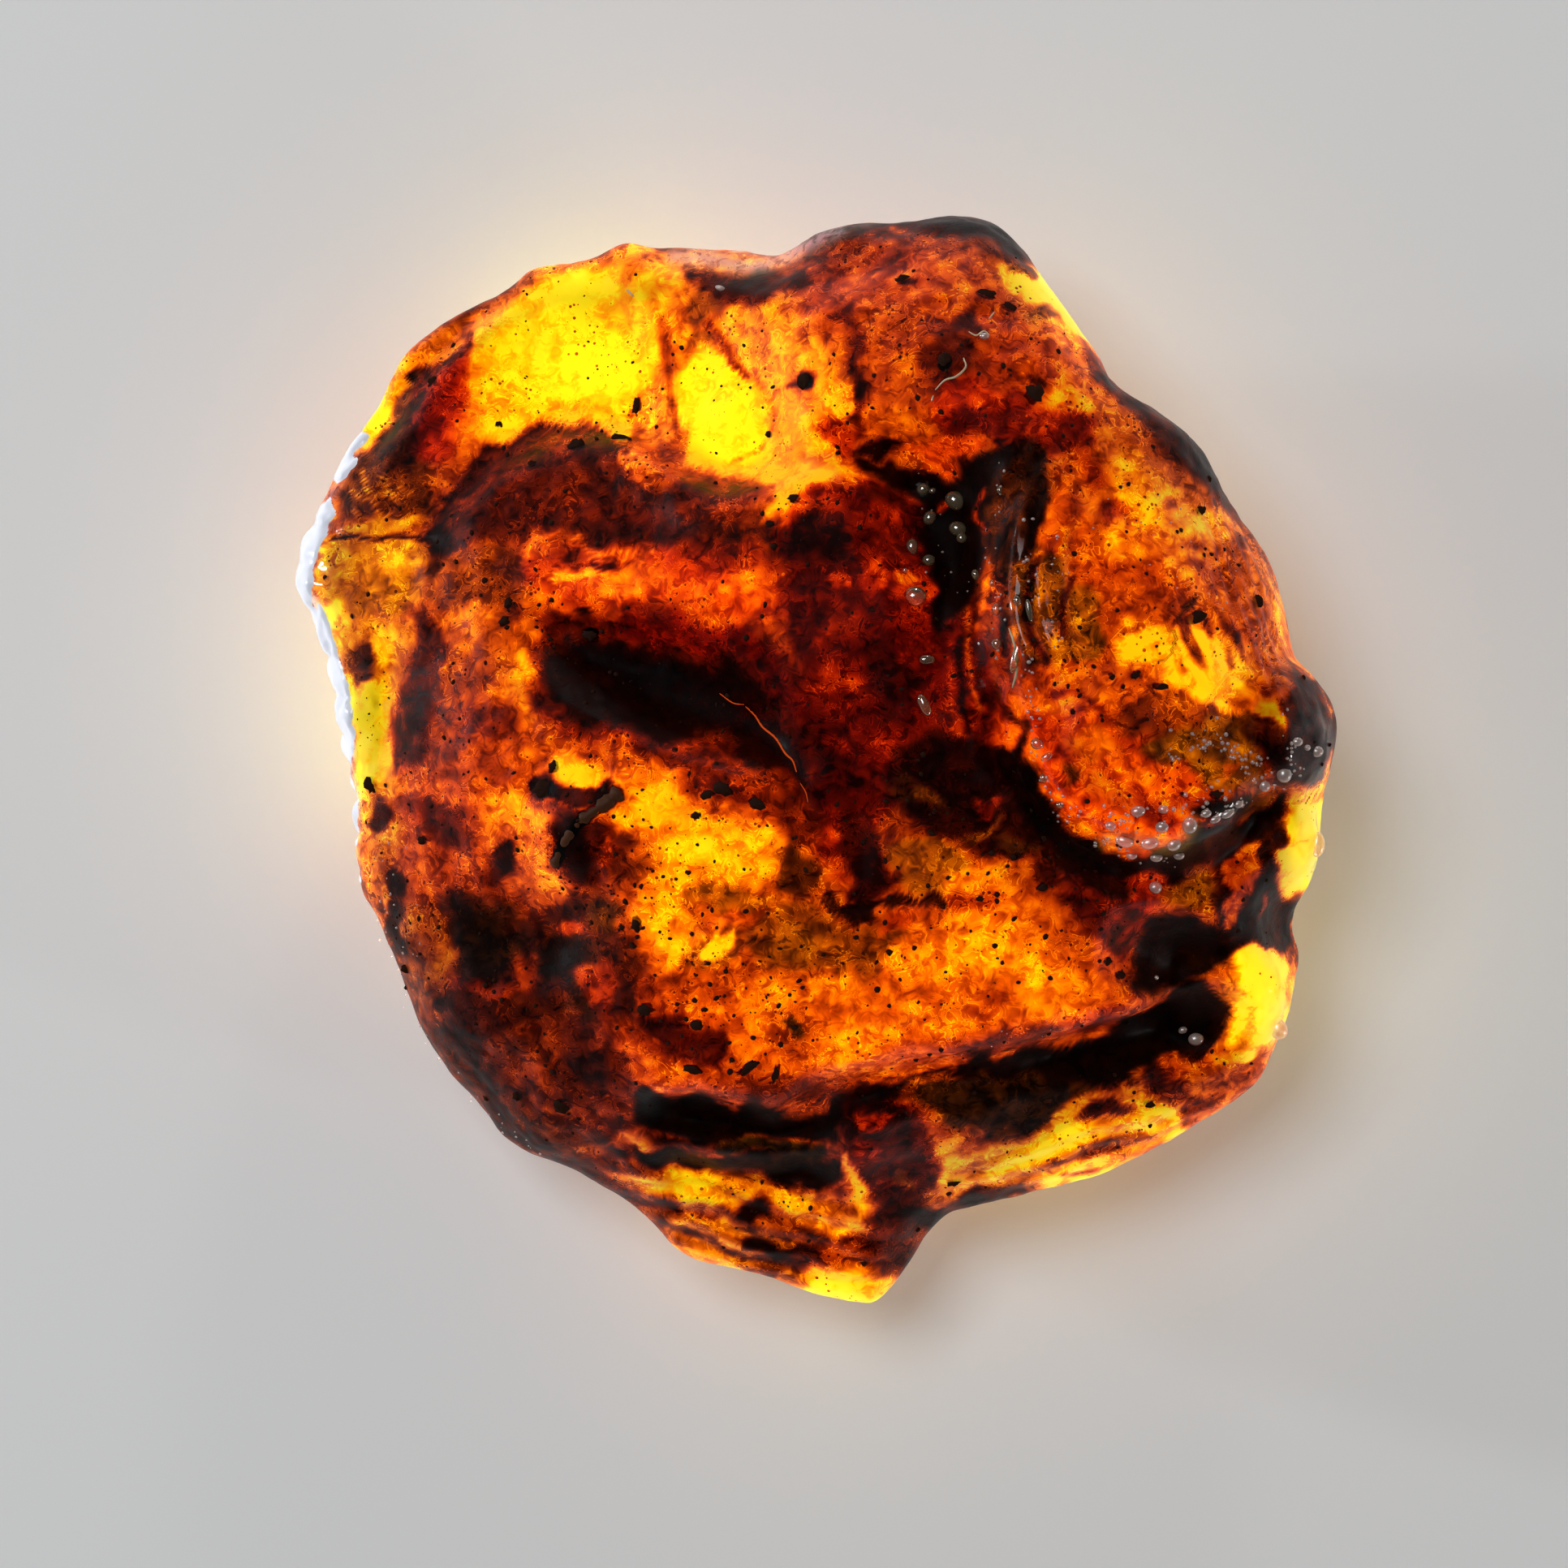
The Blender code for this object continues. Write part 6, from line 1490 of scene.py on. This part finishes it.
class Nodes:
    """Adds nodes to a tree and joins them, each placed a step to the right of the last."""

    def __init__(self, tree):
        self.tree = tree
        self.column = 0

    def add(self, kind, **settings):
        node = self.tree.nodes.new(kind)
        node.location = (self.column * 180, -(self.column % 5) * 120)
        self.column += 1
        for name, value in settings.items():
            setattr(node, name, value)
        return node

    def join(self, output, node, name):
        self.tree.links.new(output, node.inputs[name])

    def sum(self, how, first, second, third=None, clamp=False):
        """A Math node on two or three sockets or numbers."""
        node = self.add("ShaderNodeMath", operation=how, use_clamp=clamp)
        for slot, value in enumerate((first, second, third)):
            if value is None:
                continue
            if isinstance(value, (int, float)):
                node.inputs[slot].default_value = value
            else:
                self.join(value, node, slot)
        return node.outputs[0]

    def stretch(self, value, low, high, to_low=0.0, to_high=1.0):
        """Maps a value evenly from low..high to another span, held at its ends."""
        node = self.add("ShaderNodeMapRange")
        self.join(value, node, "Value")
        for name, number in zip(("From Min", "From Max", "To Min", "To Max"), (low, high, to_low, to_high)):
            node.inputs[name].default_value = number
        return node.outputs["Result"]

    def drawn_out(self, place, angle, squash):
        """Place turned about the upright by angle and then squashed along its first axis."""
        turn = self.add("ShaderNodeVectorRotate", rotation_type="Z_AXIS")
        self.join(place, turn, "Vector")
        self.join(angle, turn, "Angle")
        lay = self.add("ShaderNodeVectorMath", operation="MULTIPLY")
        self.join(turn.outputs[0], lay, 0)
        lay.inputs[1].default_value = squash
        return lay.outputs[0]

    def noise(self, place, per_mm, detail, rough, curl):
        """Value of a noise texture with its lumps per millimetre, and how curled they are."""
        node = self.add("ShaderNodeTexNoise", noise_dimensions="3D")
        self.join(place, node, "Vector")
        settings = ("Scale", per_mm / MM), ("Detail", detail), ("Roughness", rough), ("Distortion", curl)
        for name, number in settings:
            node.inputs[name].default_value = number
        return node.outputs["Fac"]

    def cells(self, place, per_mm):
        """Distance to the nearest of scattered points."""
        node = self.add("ShaderNodeTexVoronoi", feature="F1")
        self.join(place, node, "Vector")
        node.inputs["Scale"].default_value = per_mm / MM
        return node.outputs["Distance"]

    def ramp(self, value, stops):
        node = self.add("ShaderNodeValToRGB")
        self.join(value, node, "Fac")
        points = node.color_ramp.elements
        for at, *_ in stops[1:-1]:
            points.new(at)
        for point, (at, *colour) in zip(points, stops):
            point.position = at
            point.color = (*map(linear, colour), 1.0)
        return node.outputs["Color"]

    def mix(self, share, first, second):
        """Colour mixed from first to second by share."""
        node = self.add("ShaderNodeMix", data_type="RGBA", clamp_factor=True)
        for slot, value in ((0, share), (6, first), (7, second)):
            if isinstance(value, (int, float, tuple)):
                node.inputs[slot].default_value = value
            else:
                self.tree.links.new(value, node.inputs[slot])
        return node.outputs[2]


def new_group(name, inputs, outputs):
    """An empty shader node group with its sockets; returns it with its input and output nodes."""
    group = bpy.data.node_groups.new(name, "ShaderNodeTree")
    for label, kind, value in inputs:
        socket = group.interface.new_socket(label, in_out="INPUT", socket_type="NodeSocket" + kind)
        if value is not None:
            socket.default_value = value
    for label, kind in outputs:
        group.interface.new_socket(label, in_out="OUTPUT", socket_type="NodeSocket" + kind)
    nodes = Nodes(group)
    return group, nodes, nodes.add("NodeGroupInput").outputs, nodes.add("NodeGroupOutput").inputs


def resin_clouds():
    """The resin's colour. Glow is how clear it is. Noise, curds, strokes, threads and specks are added to it,
    it is read off three ramps, honey, red for hue over 0 and olive under it, and frost with painted
    highlights lies over them. Painted Edge Glow is the same colour without frost, near the rim only, a
    painted glow given off as emission."""
    group, nodes, given, out = new_group(
        "resin_clouds",
        [("Place", "Vector", None), ("Glow", "Float", 0.6), ("Hue", "Float", 0.0), ("Frost_and_glint", "Float", 0.0),
         ("Gloss", "Float", 0.0), ("Depth", "Float", 1.0), ("Rim", "Float", 0.0),
         ("Feather", "Float", 0.2), ("Way", "Float", 0.0)],
        [("Colour", "Color"), ("Painted Edge Glow", "Color"), ("Roughness", "Float"), ("Wet", "Float"),
         ("Height", "Float")])
    place = given["Place"]
    broad = nodes.noise(place, *BROAD_NOISE)
    fine = nodes.noise(place, *FINE_NOISE)
    strokes = nodes.noise(nodes.drawn_out(place, given["Way"], STROKE_SQUASH), *STROKE_NOISE)
    # Curds, paler in their middles, on places bent by the fine noise.
    bent = nodes.add("ShaderNodeVectorMath", operation="ADD")
    nodes.join(place, bent, 0)
    nodes.join(nodes.sum("MULTIPLY", fine, CURD_BEND * MM), bent, 1)
    curds = nodes.stretch(nodes.cells(bent.outputs[0], CURDS_PER_MM), *CURD_REACH, CURD_PALER, -CURD_DARKER)

    clear = given["Glow"]
    # Black resin stays nearly plain, and the clearest is calmer.
    room = nodes.stretch(clear, *BLACK_CALM)
    room = nodes.sum("MULTIPLY", room, nodes.stretch(clear, *CLEAR_CALM))
    push = nodes.sum("MULTIPLY", nodes.sum("SUBTRACT", broad, 0.5), BROAD_PUSH)
    push = nodes.sum("ADD", push, nodes.sum("MULTIPLY", nodes.sum("SUBTRACT", fine, 0.5), FINE_PUSH))
    push = nodes.sum("ADD", push, curds)
    strokes = nodes.stretch(strokes, *STROKE_SPAN, -STROKE_PUSH, STROKE_PUSH)
    # Thin bright threads where the fine noise passes its middle.
    thread = nodes.sum("ABSOLUTE", nodes.sum("SUBTRACT", fine, 0.5), 0.0)
    thread = nodes.stretch(thread, 0.0, THREAD_WIDTH, THREAD_PUSH, 0.0)
    push = nodes.sum("ADD", push, nodes.sum("MULTIPLY", strokes, given["Feather"]))
    push = nodes.sum("ADD", push, nodes.sum("MULTIPLY", thread, nodes.stretch(broad, *THREADS_WHERE)))
    push = nodes.sum("MULTIPLY", push, nodes.stretch(given["Depth"], 0, 1, BELLY_PUSH, 1))
    clear = nodes.sum("MULTIPLY_ADD", push, room, clear)

    # The finest dark specks, larger where the broad noise is high.
    size = nodes.stretch(broad, *SPECKS_WHERE)
    speck = nodes.sum("LESS_THAN", nodes.cells(place, SPECKS_PER_MM), size)
    dark = nodes.sum("MULTIPLY", speck, SPECK_DARK)
    clear = nodes.sum("MULTIPLY", clear, nodes.sum("SUBTRACT", 1.0, dark), clamp=True)

    hue = given["Hue"]
    honey, red, olive = (nodes.ramp(clear, stops) for stops in (HONEY_RAMP, RED_RAMP, OLIVE_RAMP))
    colour = nodes.mix(nodes.stretch(hue, 0, 1), honey, red)
    colour = nodes.mix(nodes.stretch(hue, 0, -1), colour, olive)
    # Painted glow: the resin's colour near the rim, to be given off as emission.
    painted_edge_glow = nodes.mix(nodes.stretch(given["Rim"], 0, 1), (0, 0, 0, 1), colour)
    # Frost and painted highlights in one pale colour, broken up by the fine noise.
    frost_and_glint = nodes.sum("MULTIPLY", given["Frost_and_glint"], nodes.stretch(fine, *FROST_AND_GLINT_SPAN))
    colour = nodes.mix(frost_and_glint, colour, FROST_AND_GLINT_COLOUR)
    deep = nodes.add("ShaderNodeGamma")
    nodes.join(colour, deep, "Color")
    nodes.join(nodes.stretch(given["Depth"], 0, 1, BELLY_DEPTH, CROWN_DEPTH), deep, "Gamma")

    join = nodes.tree.links.new
    join(deep.outputs[0], out["Colour"])
    join(painted_edge_glow, out["Painted Edge Glow"])
    join(nodes.stretch(fine, *ROUGH_SPAN), out["Roughness"])
    join(nodes.sum("MULTIPLY", given["Gloss"], nodes.stretch(broad, *WET_SPAN)), out["Wet"])
    join(fine, out["Height"])
    return group


def principled(name, **values):
    """A new material, its nodes and its Principled BSDF with values set on its sockets."""
    material = bpy.data.materials.new(name)
    material.use_nodes = True
    nodes = Nodes(material.node_tree)
    shader = material.node_tree.nodes["Principled BSDF"]
    for label, value in values.items():
        shader.inputs[label.replace("_", " ")].default_value = value
    return material, nodes, shader


def amber_material(group):
    """Clouded amber: light passes by plain transmission, and its own clouds tint it; its rim has a painted
    glow, given off as emission.
    """
    material, nodes, shader = principled(
        "clouded_amber", IOR=1.54, Transmission_Weight=THROUGH, Specular_IOR_Level=0.3,
        Specular_Tint=(0.03, 0.03, 0.03, 1), Coat_Roughness=0.03, Coat_IOR=1.38,
        Emission_Strength=PAINTED_EDGE_GLOW)
    material.cycles.emission_sampling = "NONE"
    place = nodes.add("ShaderNodeTexCoord").outputs["Object"]
    clouds = nodes.add("ShaderNodeGroup", node_tree=group)
    nodes.join(place, clouds, "Place")
    for label in ("glow", "hue", "frost_and_glint", "gloss", "depth", "rim", "feather", "way"):
        value = nodes.add("ShaderNodeAttribute", attribute_name=label)
        nodes.join(value.outputs["Fac"], clouds, label.capitalize())
    nodes.join(clouds.outputs["Colour"], shader, "Base Color")
    nodes.join(clouds.outputs["Roughness"], shader, "Roughness")
    nodes.join(clouds.outputs["Wet"], shader, "Coat Weight")
    bump = nodes.add("ShaderNodeBump")
    bump.inputs["Strength"].default_value = BUMP_STRENGTH
    bump.inputs["Distance"].default_value = BUMP_HEIGHT * MM
    nodes.join(clouds.outputs["Height"], bump, "Height")
    nodes.join(bump.outputs[0], shader, "Normal")
    # The rim's painted glow.
    nodes.join(clouds.outputs["Painted Edge Glow"], shader, "Emission Color")
    absorb = nodes.add("ShaderNodeVolumeAbsorption")
    absorb.inputs["Color"].default_value = ABSORB_COLOUR
    absorb.inputs["Density"].default_value = ABSORB
    nodes.join(absorb.outputs[0], material.node_tree.nodes["Material Output"], "Volume")
    return material


def small_materials():
    """The materials of the small pieces, in the order of SMALL_LOOKS."""
    return [principled(name, **values)[0] for name, values in SMALL_LOOKS.items()]


# --- The scene --------------------------------------------------------------------------------

# In metres, watts and shares of full light.
FLOOR_DROP, FLOOR_SIDE, FLOOR_LIGHT = -0.0003, 0.6, 0.14
WALL_TOP, WALL_LIGHT, CEILING_LIGHT = 0.3, 0.45, 0.03
LAMPS_AIM = (0, 0, 0.01)
# The soft lamps: name, place, size, watts, colour.
LAMPS = [
    ("key_softbox", (-0.16, 0.14, 0.5), (0.22, 0.22), 1.2, (0.96, 0.98, 1.0)),
    ("left_softbox", (-0.5, 0.1, 0.1), (0.04, 0.06), 0.8, (0.9, 0.94, 1.0)),
    ("far_softbox", (0.06, 0.5, 0.11), (0.06, 0.04), 0.3, (1.0, 0.98, 0.95)),
    ("right_softbox", (0.48, -0.22, 0.11), (0.04, 0.06), 0.4, (1.0, 0.97, 0.94)),
]
# The lamp under the lump, whose light comes up through it.
UNDER_SIDE, UNDER_DROP, UNDER_COLOUR = 0.24, -0.0002, (1, 0.97, 0.92)
UNDER_WATTS = 6.4 * UNDER_SIDE**2
LENS, NEAREST = 100, 0.01
CAMERA_X, CAMERA_Y, CAMERA_Z = -1.56 * MM, -1.14 * MM, 0.2509
CLEAR_BEADS = 24  # how many of the beads are clear; the others are pearly


def soft_light(name, place, aim, size, watts, colour, shape="RECTANGLE"):
    """An area lamp that faces aim."""
    light = bpy.data.lights.new(name, "AREA")
    light.shape = shape
    light.size, light.size_y = size
    light.energy = watts
    light.color = colour
    lamp = bpy.data.objects.new(name, light)
    bpy.context.scene.collection.objects.link(lamp)
    lamp.location = place
    lamp.rotation_euler = (Vector(aim) - Vector(place)).to_track_quat("-Z", "Y").to_euler()
    return lamp


def pale_floor():
    """A wide pale floor just under the lump."""
    mesh = bpy.data.meshes.new("floor")
    corners = [(-1, -1), (1, -1), (1, 1), (-1, 1)]
    mesh.from_pydata([(x * FLOOR_SIDE, y * FLOOR_SIDE, FLOOR_DROP) for x, y in corners], [], [(0, 1, 2, 3)])
    floor = bpy.data.objects.new("floor", mesh)
    bpy.context.scene.collection.objects.link(floor)
    mesh.materials.append(principled("pale_floor", Base_Color=(0.8, 0.8, 0.79, 1), Roughness=0.9,
                                     Emission_Color=(1, 1, 1, 1), Emission_Strength=FLOOR_LIGHT)[0])


def room_light():
    """Even light that comes from low all round and fades towards a dim ceiling."""
    world = bpy.data.worlds.new("room")
    world.use_nodes = True
    nodes = Nodes(world.node_tree)
    split = nodes.add("ShaderNodeSeparateXYZ")
    nodes.join(nodes.add("ShaderNodeTexCoord").outputs["Generated"], split, "Vector")
    level = nodes.stretch(split.outputs["Z"], WALL_TOP * 0.5, WALL_TOP, WALL_LIGHT, CEILING_LIGHT)
    background = world.node_tree.nodes["Background"]
    nodes.join(level, background, "Strength")
    background.inputs["Color"].default_value = (1, 1, 1, 1)
    return world


def lights_and_camera():
    """The room's light, the soft lamps, the lamp under the lump and the camera over it."""
    scene = bpy.context.scene
    scene.view_settings.view_transform = "Standard"
    scene.world = room_light()
    for name, place, size, watts, colour in LAMPS:
        soft_light(name, place, LAMPS_AIM, size, watts, colour)
    under = soft_light("under_light", (0, 0, UNDER_DROP), (0, 0, 1), (UNDER_SIDE, UNDER_SIDE), UNDER_WATTS,
                       UNDER_COLOUR, "ELLIPSE")
    under.visible_camera = False
    under.visible_glossy = False
    lens = bpy.data.cameras.new("camera")
    lens.lens = LENS
    lens.clip_start = NEAREST
    camera = bpy.data.objects.new("camera", lens)
    scene.collection.objects.link(camera)
    camera.location = (CAMERA_X, CAMERA_Y, CAMERA_Z)
    scene.camera = camera


def clouded_lump():
    """The lump with its clouds' fields stored per point; also its points and its frost with painted
    highlights.
    """
    ways, faces = lump_grid()
    points = seated(stone_points(ways))
    xy = points[:, :2]
    glow, hue, frost_and_glint, near_rim = cloud_fields(xy)
    depth = smooth_share(*DEPTH_FADE, ways[:, 2])
    frost_and_glint *= depth
    feather, way = feather_fields(xy)
    values = {"glow": glow, "hue": hue, "frost_and_glint": frost_and_glint, "gloss": shine(xy), "depth": depth,
              "feather": feather, "way": way, "rim": near_rim}
    return piece_from("amber_lump", points, faces, amber_material(resin_clouds()), values), points, frost_and_glint


lump, points, frost_and_glint = clouded_lump()
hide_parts("amber")

skin = Skin(points)
grain, drop, pearl, thread, painted_glow, plant, frosted_and_glaring = small_materials()
small_pieces = [
    dark_grains(skin, grain),
    beads("clear_beads", BEADS[:CLEAR_BEADS], skin, drop),
    beads("pearly_beads", BEADS[CLEAR_BEADS:], skin, pearl),
    tiny_beads(skin, pearl),
    threads("resin_threads_and_glints", THREADS_AND_GLINTS, skin, thread),
    threads("layer_edge", LAYER_EDGE, skin, painted_glow),
    plant_twig(skin, plant),
    rim_frost_and_glare(points, frost_and_glint, frosted_and_glaring),
]
for piece in (lump, *small_pieces):
    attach(piece, "root")

pale_floor()
lights_and_camera()
